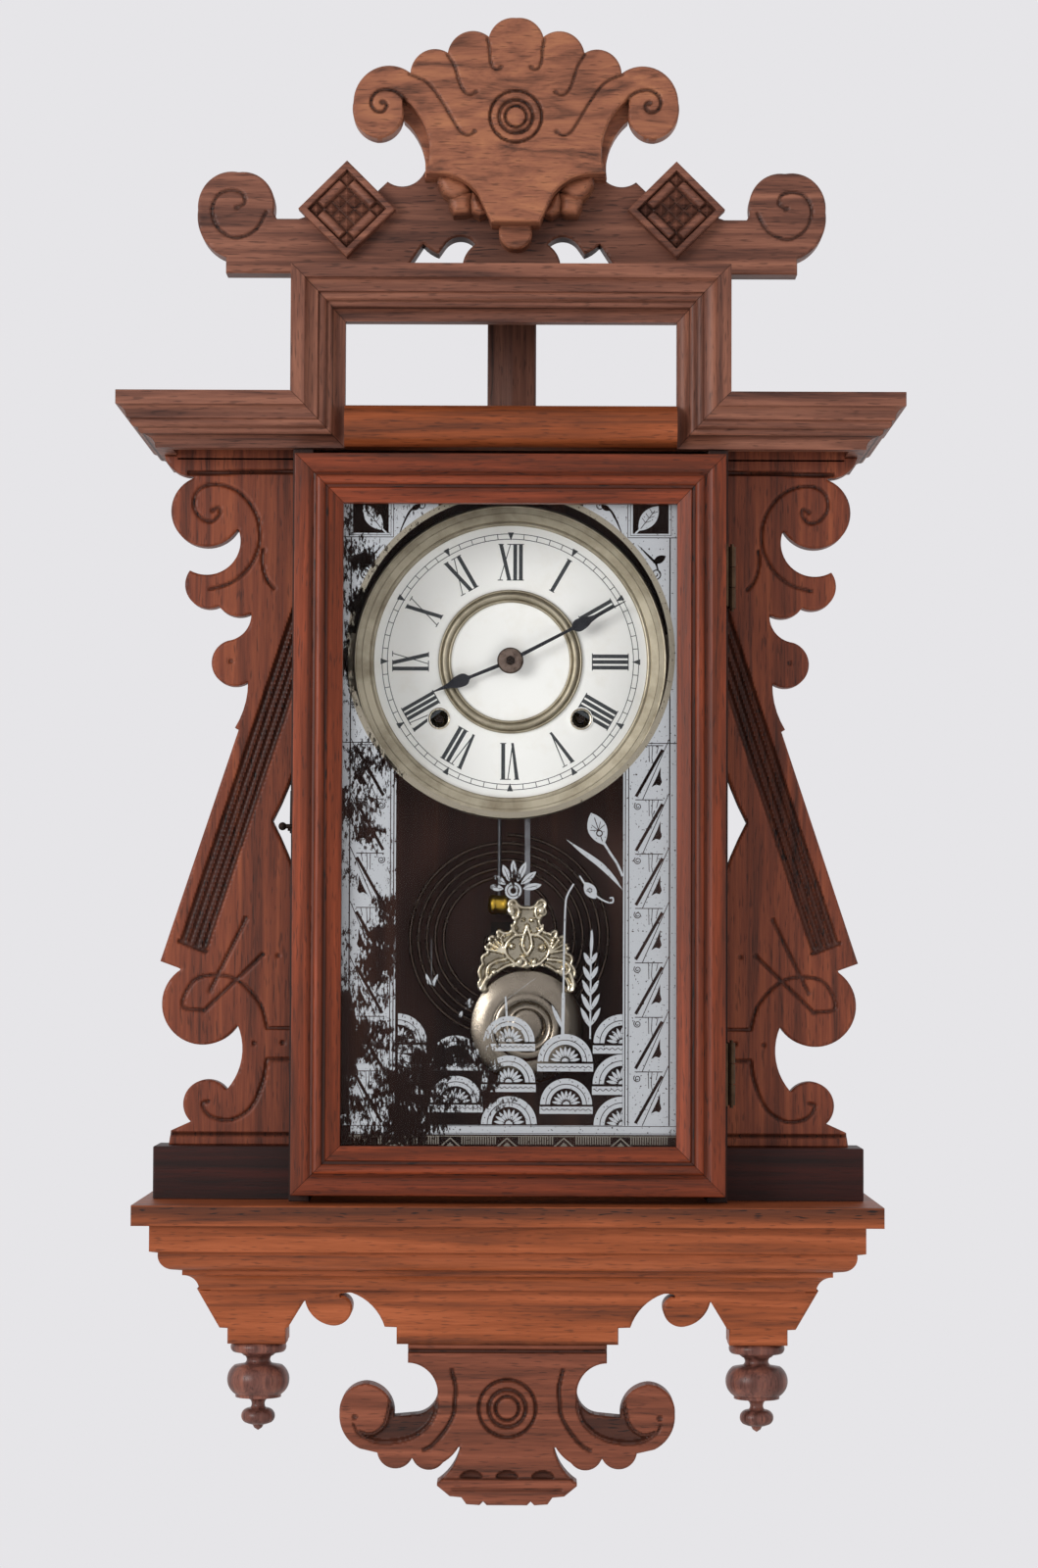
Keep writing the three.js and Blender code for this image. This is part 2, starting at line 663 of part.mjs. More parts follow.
const finialTop = BASE_Z0 + footZ;
const f = FINIAL_R / 17.1;
const finialProfile = [
  [0, 0], [13.6, 0], [14.8, -2.6], [14, -5.6], [8.4, -7.6], [6.8, -10], [8, -12.2], [13.4, -13.2], [16.6, -17],
  [17.1, -20.6], [16, -25], [12.6, -29], [12.6, -30.4], [5, -31.6], [3.8, -34], [4.6, -36.6], [8.4, -38.8],
  [9.2, -41.6], [7.4, -44.4], [3, -45.8], [2.2, -47.4], [0, -48.8],
].map(([r, z]) => [r * f, finialTop + z]);
for (const [name, s] of [["left", -1], ["right", 1]])
  add("finial_" + name, turnedAboutZ(finialProfile, 14, s * PENDANT_X, BASE_Y + PENDANT_T / 2), WALNUT);

const ornamentHalf = outline([
  [0, 0],
  [54.5, 0],
  [54.5, -10.2],
  [41.8, -16.4, 38.3, -24],
  [41.5, -34.5, 50, -38.8],
  [62, -39.9],
  [66.8, -26.5, 77.4, -21.7],
  [88, -26.5, 91.8, -37.5],
  [88.9, -49.5, 80.6, -57],
  [71, -59.2],
  [62.4, -67.7, 51.9, -61.8],
  [44.5, -68.3, 35.1, -64.5],
  [29.5, -60, 25.4, -53.8],
  [28.5, -64.5, 38.3, -75.4],
  [38.3, -77],
  [31.3, -82.7],
  [24.9, -83.3],
  [22.2, -87],
  [15, -87.5],
  [13, -85.5],
  [11, -87.5],
  [0, -87.5],
]);
const ornamentY = BASE_Y + ORNAMENT_SET;
let ornament = board(moved(bothHalves(ornamentHalf), 0, finialTop), ornamentY + ORNAMENT_T, ORNAMENT_T);
for (const [r, width] of ringsOf(DROP_ROUNDEL_R))
  ornament = ornament.subtract(ringGroove(0, finialTop - DROP_ROUNDEL_Z, ornamentY, r, width, 1.8));
add("bottom_ornament", ornament, WALNUT_DOOR);

// ---- door ----
const pinX = CASE_X + 2; // the hinges are on the right
const pinY = DOOR_Y1 - 2.2;
const door = new THREE.Group();
clock.add(door);
const R = FRAME_W / 26.5;
// w runs from the outer edge to the glass, d from the back of the frame to its front
const doorProfile = outline(
  [
    [0, 0],
    [FRAME_W - GLASS_REBATE, 0],
    [FRAME_W - GLASS_REBATE, REBATE_D],
    [FRAME_W, REBATE_D],
    [FRAME_W, DOOR_T - 6],
    [19.2 * R, DOOR_T - 1.4],
    [18.4 * R, DOOR_T - 2.6],
    [17 * R, DOOR_T - 2.4],
    [14.8 * R, DOOR_T - 0.2, 11.6 * R, DOOR_T - 1.6],
    [10.4 * R, DOOR_T - 2.2],
    [8.4 * R, DOOR_T - 0.4],
    [7.6 * R, DOOR_T],
    [0, DOOR_T],
  ],
  45,
);
for (const [name, s] of [["left", -1], ["right", 1]])
  add(
    "door_stile_" + name,
    sweep(doorProfile, [
      (w, d) => [s * (DOOR_X - w), DOOR_Y1 - d, DOOR_Z0 + w + half],
      (w, d) => [s * (DOOR_X - w), DOOR_Y1 - d, DOOR_Z1 - w - half],
    ]),
    WALNUT_DOOR,
    door,
  );
for (const [name, z, s] of [["bottom", DOOR_Z0, 1], ["top", DOOR_Z1, -1]])
  add(
    "door_rail_" + name,
    sweep(doorProfile, [
      (w, d) => [-(DOOR_X - w - half), DOOR_Y1 - d, z + s * w],
      (w, d) => [DOOR_X - w - half, DOOR_Y1 - d, z + s * w],
    ]),
    WALNUT_DOOR,
    door,
  );
const glassIn = FRAME_W - GLASS_REBATE + TOUCH;
add(
  "door_glass",
  block(
    -(DOOR_X - glassIn),
    DOOR_X - glassIn,
    DOOR_Y1 - REBATE_D,
    DOOR_Y1 - REBATE_D + GLASS_T,
    DOOR_Z0 + glassIn,
    DOOR_Z1 - glassIn,
  ),
  clearGlass(),
  door,
);
// hinges: a leaf on the door's edge with the middle knuckle, and a leaf on the case with the outer two
const KNUCKLE_R = 2.2;
const LEAF_T = 1.3;
const LEAF_H = 34;
for (const [name, z] of [["upper", DOOR_Z1 - 66], ["lower", DOOR_Z0 + 66]]) {
  const upright = (r, z0, z1) => {
    const g = new THREE.CylinderGeometry(r, r, z1 - z0, 10).rotateX(Math.PI / 2);
    return solid(g.translate(pinX, pinY, (z0 + z1) / 2));
  };
  const third = LEAF_H / 6;
  let leaf = block(DOOR_X, DOOR_X + LEAF_T, DOOR_Y0 + 3, pinY + 0.6, z - LEAF_H / 2, z + LEAF_H / 2);
  leaf = leaf.add(block(DOOR_X, pinX, pinY - 0.7, pinY + 0.6, z - third + TOUCH, z + third - TOUCH));
  leaf = leaf.add(upright(KNUCKLE_R, z - third + TOUCH, z + third - TOUCH));
  leaf = leaf.subtract(upright(1 + TOUCH, z - LEAF_H, z + LEAF_H));
  add("hinge_" + name + "_door_leaf", leaf, BRASS, door);
  let fixed = block(CASE_X, CASE_X + LEAF_T, -CASE_D + 3, -CASE_D + 20, z - LEAF_H / 2, z + LEAF_H / 2);
  for (const s of [-1, 1]) {
    const z0 = s < 0 ? z - LEAF_H / 2 : z + third + TOUCH;
    const z1 = s < 0 ? z - third - TOUCH : z + LEAF_H / 2;
    fixed = fixed.add(upright(KNUCKLE_R, z0, z1));
    fixed = fixed.add(block(pinX - 1.1, pinX + 0.4, pinY, -CASE_D + 4, z0, z1));
  }
  fixed = fixed.add(upright(1, z - LEAF_H / 2 - 1.5, z + LEAF_H / 2 + 1.5));
  add("hinge_" + name + "_case_leaf", fixed, BRASS);
}
// latch: a round-headed pin on the door's free edge, and a hook pivoted on the case side
const latchZ = -95.5;
const latchY = (DOOR_Y0 + DOOR_Y1) / 2;
const alongX = (r, x0, x1, y, z, sides = 14) => {
  const g = new THREE.CylinderGeometry(r, r, Math.abs(x1 - x0), sides).rotateZ(Math.PI / 2);
  return solid(g.translate((x0 + x1) / 2, y, z));
};
const hookX = -CASE_X - 0.3; // inner face of the hook
const ball = new THREE.SphereGeometry(2.3, 10, 8).translate(hookX - 3.6, latchY, latchZ);
add("latch_pin", alongX(1.3, -DOOR_X, hookX - 3, latchY, latchZ, 10).add(solid(ball)), IRON, door);
const pivotY = -CASE_D + 12;
const hookShape = outline([
  [0, -2.6],
  [pivotY - latchY - 3.4, -2.4],
  [pivotY - latchY - 1.7, -2.4],
  [pivotY - latchY, 1.7, pivotY - latchY + 1.7, -2.4],
  [pivotY - latchY + 3.6, -2.4],
  [pivotY - latchY + 1.5, 4.6, pivotY - latchY - 4, 3.4],
  [0, 2.6],
  [-3.2, 0, 0, -2.6],
]);
let hook = board(hookShape, 0, 1)
  .rotate([0, 0, -90])
  .rotate([-LATCH_OPEN_DEG, 0, 0])
  .translate([hookX, pivotY, latchZ]);
hook = hook.add(alongX(1.9, hookX + 0.3, hookX - 2.2, pivotY, latchZ, 10));
add("latch_hook", hook, IRON);

// ---- dial ----
const dialY = BACK_Y - PAN_D + 4.8; // front of the white dial
const lip = dialY - 0.2;
const rearY = BACK_Y;
const panProfile = [
  [DIAL_R, lip],
  [DIAL_R, lip - 1],
  [DIAL_R + 4, lip - 3.6],
  [PAN_FRONT_R - 2.4, lip - 4.6],
  [PAN_FRONT_R + 0.2, lip - 3.2],
  [PAN_FRONT_R + PAN_T, lip],
  [PAN_REAR_R + PAN_T, rearY - PAN_T - 0.2],
  [PAN_FLANGE_R, rearY - PAN_T - 0.2],
  [PAN_FLANGE_R, rearY],
  [PAN_REAR_R, rearY],
  [PAN_FRONT_R, lip + 2.2],
  [PAN_FRONT_R - 0.8, lip - 1],
  [PAN_FRONT_R - 2.8, lip - 3],
  [DIAL_R + 4.4, lip - 2.2],
  [DIAL_R + 1.6, lip],
  [DIAL_R, lip],
];
let pan = turnedAboutY(panProfile, 36);
// the notch in its lower wall lets the pendulum rod and the hammer wire down
const notchLeft = GONG_X - 18;
const notchRight = PENDULUM_X + 14;
pan = pan.subtract(block(notchLeft, notchRight, dialY + 2.5, 1, -PAN_FLANGE_R - 3, -PAN_FRONT_R + 12));
add("dial_pan", pan, NICKEL);
let dial = bar(PAN_FRONT_R - 0.9, dialY, dialY + DIAL_T, 0, 0, 36);
dial = dial.subtract(bar(4.6, dialY - 2, dialY + 3, 0, 0, 16));
for (const s of [-1, 1]) {
  dial = dial.add(bar(WIND_HOLE_R + 1.6, dialY - 0.9, dialY + 0.4, s * WIND_X, WIND_Z, 14));
  dial = dial.subtract(bar(WIND_HOLE_R, dialY - 2, dialY + 3, s * WIND_X, WIND_Z, 14));
}
add("dial_plate", dial, ENAMEL);
const ringMid = (CENTRE_RING_IN + CENTRE_RING_OUT) / 2;
add(
  "dial_centre_ring",
  turnedAboutY(
    [
      [CENTRE_RING_IN, dialY],
      [CENTRE_RING_IN + 0.6, dialY - 1.7],
      [ringMid, dialY - 2.6],
      [CENTRE_RING_OUT - 0.6, dialY - 1.7],
      [CENTRE_RING_OUT, dialY],
      [CENTRE_RING_IN, dialY],
    ],
    30,
  ),
  NICKEL,
);
/** Half of a hand's outline, [half width, distance from the hub], closed by its mirror image. */
const handShape = (halves) => [...halves, ...mirror(halves)];
const hourY = dialY - 5;
const minuteY = hourY - 3.4;
const hourHalf = [[1.3, 4.2], [1, 25], [2.8, 26.8], [3.6, 29.2], [3.3, 31.8], [2, 35.6], [1.2, 39.5], [0.3, HOUR_LEN]];
let hourHand = board(turned(handShape(hourHalf), HOUR_DEG), hourY, 0.9);
hourHand = hourHand.add(bar(5.6, hourY, hourY - 0.9, 0, 0, 20)).add(bar(3.6, hourY - 0.9, dialY + 5, 0, 0, 16));
hourHand = hourHand.subtract(bar(2.4, hourY - 2, dialY + 6, 0, 0, 16));
add("hour_hand", hourHand, BLUED);
const minuteHalf = [[1.3, 5], [1, 39.4], [2.7, 41], [3.5, 43.4], [3.2, 46], [1.9, 50], [1.1, 55], [0.3, MINUTE_LEN]];
let minuteHand = board(turned(handShape(minuteHalf), MINUTE_DEG), minuteY, 0.9);
minuteHand = minuteHand.add(bar(7, minuteY + 0.6, minuteY - 1.6, 0, 0, 20));
minuteHand = minuteHand.subtract(bar(1.5 + TOUCH, minuteY - 4, minuteY + 4, 0, 0, 14));
add("minute_hand", minuteHand, BLUED);

// ---- movement ----
const backPlateY = BACK_Y - PLATE_FEET - PLATE_T; // front face of the back plate
const frontPlateY = backPlateY - PLATE_GAP; // rear face of the front plate
/** Where an arbor lies that is ra from a and rb from b, on one side of the line between them. */
function meet([ax, az], ra, [bx, bz], rb, side) {
  const d = Math.hypot(bx - ax, bz - az);
  const t = (ra * ra - rb * rb + d * d) / (2 * d);
  const h = side * Math.sqrt(Math.max(0, ra * ra - t * t));
  const [ux, uz] = [(bx - ax) / d, (bz - az) / d];
  return [ax + ux * t - uz * h, az + uz * t + ux * h];
}
const GREAT_R = 24;
const SECOND_R = 20.5;
const SECOND_PINION_R = 6;
const CENTRE_PINION_R = 6.8;
const CENTRE_R = 20;
const THIRD_PINION_R = 2.1;
const THIRD_R = 17;
const ESCAPE_PINION_R = 1.8;
const ESCAPE_R = 13;
const great = [WIND_X, WIND_Z];
const centre = [0, 0];
const second = meet(great, GREAT_R + SECOND_PINION_R + PIVOT_GAP, centre, SECOND_R + CENTRE_PINION_R + PIVOT_GAP, 1);
const escape = [PENDULUM_X, PENDULUM_Z - 24.4];
const third = meet(centre, CENTRE_R + THIRD_PINION_R + PIVOT_GAP, escape, THIRD_R + ESCAPE_PINION_R + PIVOT_GAP, 1);
const verge = [PENDULUM_X, PENDULUM_Z - 6];

/** A toothed wheel of four crossings: tips on radius r, zigzag teeth, its hub fused to an arbor. */
function wheel([x, z], r, teeth, y, lean = 0.5, bore = 0) {
  const deep = Math.min(1.5, (2.4 * r) / teeth);
  const rim = [];
  for (let i = 0; i < teeth; i++) {
    const a = (2 * Math.PI * i) / teeth;
    const b = (2 * Math.PI * (i + lean)) / teeth;
    rim.push([r * Math.sin(a), r * Math.cos(a)], [(r - deep) * Math.sin(b), (r - deep) * Math.cos(b)]);
  }
  const holes = [];
  const outer = r - deep - 2.2;
  const inner = Math.max(4.2, r * 0.3);
  for (let k = 0; k < 4 && !bore; k++) {
    const arc = (q, from, to) =>
      [0, 1, 2].map((i) => {
        const t = rad(90 * k + from + ((to - from) * i) / 2);
        return [q * Math.sin(t), q * Math.cos(t)];
      });
    holes.push([...arc(outer, 8, 82), ...arc(inner, 68, 22)]);
  }
  return board(rim, y + WHEEL_T / 2, WHEEL_T, holes).translate([x, 0, z]);
}
/** A pinion: a leaved roller on an arbor. */
function pinion([x, z], r, leaves, y0, y1) {
  const rim = [];
  for (let i = 0; i < leaves; i++) {
    const a = (2 * Math.PI * i) / leaves;
    const b = (2 * Math.PI * (i + 0.5)) / leaves;
    rim.push([r * Math.sin(a), r * Math.cos(a)], [r * 0.78 * Math.sin(b), r * 0.78 * Math.cos(b)]);
  }
  return board(rim, y0, y0 - y1).translate([x, 0, z]);
}
const arborBack = backPlateY + PLATE_T * 0.7; // rear pivots end inside the back plate
const arborFront = frontPlateY - PLATE_T * 0.7;

const plateOutline = outline([
  [-44, 66],
  [44, 66],
  [51, 58],
  [51, -52],
  [43, -61],
  [-43, -61],
  [-51, -52],
  [-51, 58],
]);
const pivots = [great, [-WIND_X, WIND_Z], second, third, escape, verge, [GONG_X - 4.4, HAMMER_Z]];
let backPlate = board(plateOutline, backPlateY + PLATE_T, PLATE_T);
let frontPlate = board(plateOutline, frontPlateY, PLATE_T);
for (const [x, z] of [...pivots, centre])
  backPlate = backPlate.subtract(bar(ARBOR_R + PIVOT_GAP, backPlateY - 1, backPlateY + PLATE_T + 1, x, z));
for (const [x, z] of pivots)
  frontPlate = frontPlate.subtract(bar(ARBOR_R + PIVOT_GAP, frontPlateY - PLATE_T - 1, frontPlateY + 1, x, z));
for (const [x, z] of [great, [-WIND_X, WIND_Z], centre])
  frontPlate = frontPlate.subtract(bar(2.2 + PIVOT_GAP, frontPlateY - PLATE_T - 1, frontPlateY + 1, x, z));
for (const [x, z] of [[-40, 57], [40, 57], [-20, -54], [20, -54]])
  backPlate = backPlate.add(bar(2.6, backPlateY + 0.5, frontPlateY, x, z, 10));
for (const [x, z] of [[-43, 50], [43, 50], [-43, -50], [43, -50]])
  backPlate = backPlate.add(bar(4, BACK_Y, backPlateY + PLATE_T - 0.5, x, z, 10));
// the stud that the pendulum hangs on
const rodY = frontPlateY - PLATE_T - 4.4; // middle of the rod
frontPlate = frontPlate.add(bar(1.8, frontPlateY - PLATE_T + 0.5, rodY - 1.6, PENDULUM_X, PENDULUM_Z, 12));
frontPlate = frontPlate.add(bar(3, rodY - 1.1, rodY - 1.9, PENDULUM_X, PENDULUM_Z, 12));
add("movement_back_plate", backPlate, BRASS);
add("movement_front_plate", frontPlate, BRASS);

const SPRING_R = 18.5;
for (const [name, x] of [["time_great_wheel", WIND_X], ["strike_great_wheel", -WIND_X]]) {
  let made = wheel([x, WIND_Z], GREAT_R, 60, frontPlateY + 3);
  made = made.add(bar(SPRING_R, backPlateY - 3.4, frontPlateY + 5.4, x, WIND_Z, 20));
  made = made.add(bar(2.2, backPlateY - 1, dialY + 1.6, x, WIND_Z));
  made = made.add(bar(ARBOR_R, arborBack, backPlateY - 1.5, x, WIND_Z));
  made = made.add(bar(4.4, backPlateY - 3, frontPlateY + 2, x, WIND_Z));
  add(name, made, BRASS);
}
let secondWheel = wheel(second, SECOND_R, 54, backPlateY - 1.9);
secondWheel = secondWheel.add(pinion(second, SECOND_PINION_R, 15, frontPlateY + 4.9, frontPlateY + 1.1));
add("time_second_wheel", secondWheel.add(bar(ARBOR_R, arborBack, arborFront, ...second)), BRASS);
let centreWheel = wheel(centre, CENTRE_R, 60, frontPlateY + 7.6);
centreWheel = centreWheel.add(pinion(centre, CENTRE_PINION_R, 18, backPlateY - 0.9, backPlateY - 4));
centreWheel = centreWheel.add(bar(1.5, arborBack, minuteY - 2.8, 0, 0, 14));
centreWheel = centreWheel.subtract(block(-3, 3, arborBack - 0.01, arborBack + 1, -3, 3));
centreWheel = centreWheel.add(bar(2.6, minuteY - 1.9, minuteY - 3, 0, 0, 6));
add("centre_wheel", centreWheel, BRASS);
let thirdWheel = wheel(third, THIRD_R, 60, backPlateY - 8);
thirdWheel = thirdWheel.add(pinion(third, THIRD_PINION_R, 6, frontPlateY + 9.6, frontPlateY + 5.6));
add("third_wheel", thirdWheel.add(bar(ARBOR_R, arborBack, arborFront, ...third)), BRASS);
let escapeWheel = wheel(escape, ESCAPE_R, 36, frontPlateY + 4.6, 0.12);
escapeWheel = escapeWheel.add(pinion(escape, ESCAPE_PINION_R, 6, backPlateY - 6, backPlateY - 10));
add("escape_wheel", escapeWheel.add(bar(ARBOR_R, arborBack, arborFront, ...escape)), BRASS);

// the verge: a bent strip whose two pallets straddle the escape wheel, and the crutch that drives the rod
const vergeToWheel = verge[1] - escape[1];
const palletX = 8.6;
const palletTip = vergeToWheel - Math.sqrt(ESCAPE_R ** 2 - palletX ** 2) - 0.9;
const vergeStrip = outline([
  [-palletX - 1.6, -palletTip],
  [-palletX, -palletTip],
  [-palletX + 1.4, -4.6],
  [0, -2.6, palletX - 1.4, -4.6],
  [palletX, -palletTip],
  [palletX + 1.6, -palletTip],
  [palletX - 0.2, -2],
  [0, 3, -palletX + 0.2, -2],
]);
const crutchY = frontPlateY - PLATE_T - 1.6;
const crutchDrop = 31;
let crutch = board(moved(vergeStrip, ...verge), frontPlateY + 5.3, WHEEL_T);
crutch = crutch.add(bar(ARBOR_R, arborBack, crutchY - 0.9, ...verge));
crutch = crutch.add(block(verge[0] - 0.9, verge[0] + 0.9, crutchY, crutchY - 1, verge[1] - crutchDrop, verge[1]));
const forkZ = verge[1] - crutchDrop;
crutch = crutch.add(block(verge[0] - 4, verge[0] + 4, crutchY, crutchY - 1, forkZ - 1, forkZ + 1));
for (const s of [-1, 1]) {
  const inner = ROD_W / 2 + 0.8;
  crutch = crutch.add(
    block(verge[0] + s * inner, verge[0] + s * (inner + 1.3), crutchY, rodY - ROD_T, forkZ - 1, forkZ + 1),
  );
}
add("verge_crutch", crutch, STEEL);

// ---- pendulum ----
const bobZ = PENDULUM_Z - BOB_DROP;
const ring = (r, x, z, n = 14) =>
  Array.from({ length: n }, (_, i) => [x + r * Math.sin((2 * Math.PI * i) / n), z + r * Math.cos((2 * Math.PI * i) / n)]);
let rod = board(ring(4, PENDULUM_X, PENDULUM_Z), rodY + ROD_T / 2, ROD_T);
rod = rod.add(
  block(
    PENDULUM_X - ROD_W / 2,
    PENDULUM_X + ROD_W / 2,
    rodY - ROD_T / 2,
    rodY + ROD_T / 2,
    bobZ + BOB_R + ROD_IN,
    PENDULUM_Z - 3,
  ),
);
rod = rod.subtract(bar(1.8 + PIVOT_GAP, rodY - 3, rodY + 3, PENDULUM_X, PENDULUM_Z, 12));
add("pendulum_rod", rod, STEEL);
// the bob's turned disc and the pierced casting above it, which takes the rod
const castHalf = outline(
  [
    [0, BOB_R + CAST_H],
    [9, 71.2, 11.3, 69.4],
    [12.4, 64.5, 10.6, 57],
    [13, 54.5, 17, 52],
    [20, 51.6, 22.6, 48.6],
    [25.4, 43, 26.4, 36],
    [28.6, 30, 28.2, 24],
    [26.6, 18.6],
    [22.6, 19.6],
    [0, 24],
  ],
  30,
);
const bobY = rodY;
const bobProfile = [
  [0, bobY + 2], [BOB_R - 4, bobY + 2.6], [BOB_R, bobY + 0.6], [BOB_R, bobY - 0.8], [BOB_R - 3, bobY - 2.2],
  [BOB_R - 7, bobY - 1.6], [BOB_R - 10, bobY - 3.4], [BOB_R - 14, bobY - 2.6], [BOB_R - 18, bobY - 4.2],
  [7, bobY - 3.4], [0, bobY - BOB_T / 2],
];
let bob = turnedAboutY(bobProfile, 26, PENDULUM_X, bobZ);
bob = bob.add(board(moved(bothHalves(castHalf), PENDULUM_X, bobZ), bobY + 1.4, 3.4));
bob = bob.subtract(
  block(PENDULUM_X - ROD_W / 2 - 0.2, PENDULUM_X + ROD_W / 2 + 0.2, rodY - ROD_T / 2 - 0.2, rodY + 2, bobZ + BOB_R + ROD_IN - TOUCH, bobZ + BOB_R + CAST_H + 16),
);
add("pendulum_bob", bob, SILVER);

// ---- gong and hammer ----
const gongIn = GONG_R - GONG_WIRE / 2 - GONG_PITCH * GONG_LOOPS;
const leadLoops = 0.75;
const startR = GONG_BLOCK / 2 + TOUCH;
const LOOP_STEPS = 24;
const WIRE_SIDES = 6;
/** Centre line of the gong: a straight start out of the block, a quick lead, then turns at a steady pitch. */
function gongLine() {
  const points = [[-startR, 0], [-startR - GONG_WIRE, 0]];
  const r0 = startR + GONG_WIRE + 1.2;
  const leadSteps = Math.round(leadLoops * LOOP_STEPS);
  for (let i = 1; i <= leadSteps + GONG_LOOPS * LOOP_STEPS; i++) {
    const lead = Math.min(1, i / leadSteps);
    const r = i <= leadSteps ? r0 + (gongIn - r0) * lead : gongIn + (GONG_PITCH * (i - leadSteps)) / LOOP_STEPS;
    const a = Math.PI + (2 * Math.PI * i) / LOOP_STEPS;
    points.push([r * Math.cos(a), r * Math.sin(a)]);
  }
  return points;
}
const line = gongLine();
let leastGap = Infinity;
for (let i = 0; i < line.length; i++)
  for (let j = i + 6; j < line.length; j++)
    leastGap = Math.min(leastGap, Math.hypot(line[i][0] - line[j][0], line[i][1] - line[j][1]) - GONG_WIRE);
console.log("least gap between turns of the gong " + leastGap.toFixed(2) + " mm");
const wireSection = ring(GONG_WIRE / 2, 0, 0, WIRE_SIDES).reverse();
add(
  "gong_coil",
  sweep(
    wireSection,
    line.map(([x, z], i) => {
      const [px, pz] = line[Math.max(0, i - 1)];
      const [nx, nz] = line[Math.min(line.length - 1, i + 1)];
      const len = Math.hypot(nx - px, nz - pz);
      const side = i === 0 ? [0, 1] : [-(nz - pz) / len, (nx - px) / len];
      const s = i === 0 ? -1 : 1;
      return (w, d) => [GONG_X + x + s * side[0] * w, -GONG_Y - d, GONG_Z + z + s * side[1] * w];
    }),
  ),
  STEEL,
);
const blockHalf = GONG_BLOCK / 2;
let gongBlock = block(GONG_X - blockHalf, GONG_X + blockHalf, BACK_Y, -GONG_Y - 5, GONG_Z - blockHalf, GONG_Z + blockHalf);
gongBlock = gongBlock.add(bar(3, -GONG_Y - 4, -GONG_Y - 8, GONG_X, GONG_Z, 8));
add("gong_block", gongBlock, IRON);
const hammerX = GONG_X - 4.4;
const hammerY = -GONG_Y - 3.6;
let hammer = bar(ARBOR_R, arborBack, arborFront, hammerX, HAMMER_Z);
hammer = hammer.add(bar(3.4, hammerY + 2.4, hammerY - 2.4, hammerX, HAMMER_Z));
hammer = hammer.add(block(hammerX - 1, hammerX + 1, hammerY - 1, hammerY + 1, HAMMER_Z - HAMMER_DROP + 2, HAMMER_Z));
hammer = hammer.add(alongX(5.4, hammerX - 6.5, hammerX + 6.5, hammerY, HAMMER_Z - HAMMER_DROP, 14));
add("strike_hammer", hammer, BRASS);

export default clock;
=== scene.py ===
"""Carved walnut hanging clock: the looks of every piece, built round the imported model.

All sizes below are millimetres in the clock's own frame: x to the right, z up, the front faces -y and the hands
turn at x = 0, z = 0. Everything is turned to metres when a mesh is made.
"""

import math

import bpy
import numpy as np
from mathutils import Matrix, Vector
from mathutils.geometry import delaunay_2d_cdt


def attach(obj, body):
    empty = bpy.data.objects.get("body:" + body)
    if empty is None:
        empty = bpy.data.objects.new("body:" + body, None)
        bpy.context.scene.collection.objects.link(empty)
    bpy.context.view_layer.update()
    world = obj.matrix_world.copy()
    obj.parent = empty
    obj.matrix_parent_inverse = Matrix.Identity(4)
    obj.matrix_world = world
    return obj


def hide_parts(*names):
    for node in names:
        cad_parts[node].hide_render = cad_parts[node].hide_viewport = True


bl_info = {
    "name": "Carved walnut hanging clock",
    "version": (1, 0, 0),
    "blender": (4, 5, 0),
    "location": "View3D > Sidebar > Clock",
    "description": "Dresses the clock's solids with carved wood, metal, enamel and printed glass",
    "category": "Object",
}

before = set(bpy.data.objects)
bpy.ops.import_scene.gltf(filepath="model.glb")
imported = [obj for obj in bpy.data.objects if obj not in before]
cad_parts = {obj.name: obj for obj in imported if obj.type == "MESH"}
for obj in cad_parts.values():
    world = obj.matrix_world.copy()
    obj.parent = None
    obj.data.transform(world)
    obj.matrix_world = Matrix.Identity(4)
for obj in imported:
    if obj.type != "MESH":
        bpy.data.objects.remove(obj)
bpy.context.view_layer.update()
MM = 0.001

# levels of the case, as the solids have them
BRIDGE_TOP = 212.7
CORNICE_TOP = 142.5
CORNICE_FOOT = 113.5
ROOF = 125.0
PLINTH_TOP = -271.5
BASE_FOOT = -348.5
DROP_TOP = -378.5
DECK_FRONT = -98.0
CREST_FACE = -96.0
MOULD_PLANE = -107.0
DIAL_FACE = -52.0
DOOR_BACK = -104.0
DOOR_X = 118.0
DOOR_FOOT, DOOR_HEAD = -296.0, 108.5
GLASS_BACK = -110.0
PENDULUM_X, BOB_Z, ROD_Y = 10.0, -206.0, -46.2
GONG_X, GONG_Z, GONG_Y = -1.6, -155.8, -21.0
BRIDGE_HALF, CORNICE_HALF, MOULDING_HALF = 120.5, 196.0, 163.5
MITRE = 0.15  # each moulding stops this far short of its mitre
SHELL_STEP = -109.0
WING_FACE, WING_BACK = -76.0, -64.0
SHELF_FOOT = -311.5
APRON_BACK = -80.0
HAMMER_X, HAMMER_Y = -6.0, -24.6
SQUARE_Y = -41.0
INK_FACE = DIAL_FACE - 0.05
PRINT_FACE = GLASS_BACK + 0.08
SIDES = (("left", -1), ("right", 1))


# ---------------------------------------------------------------- lines and outlines


def srgb(code):
    """Linear colour of an sRGB hex code: c / 12.92 below 0.04045, else ((c + 0.055) / 1.055) to the power 2.4."""
    c = np.array([int(code[i : i + 2], 16) for i in (0, 2, 4)]) / 255
    c = np.where(c < 0.04045, c / 12.92, ((c + 0.055) / 1.055) ** 2.4)
    return (*c.tolist(), 1.0)


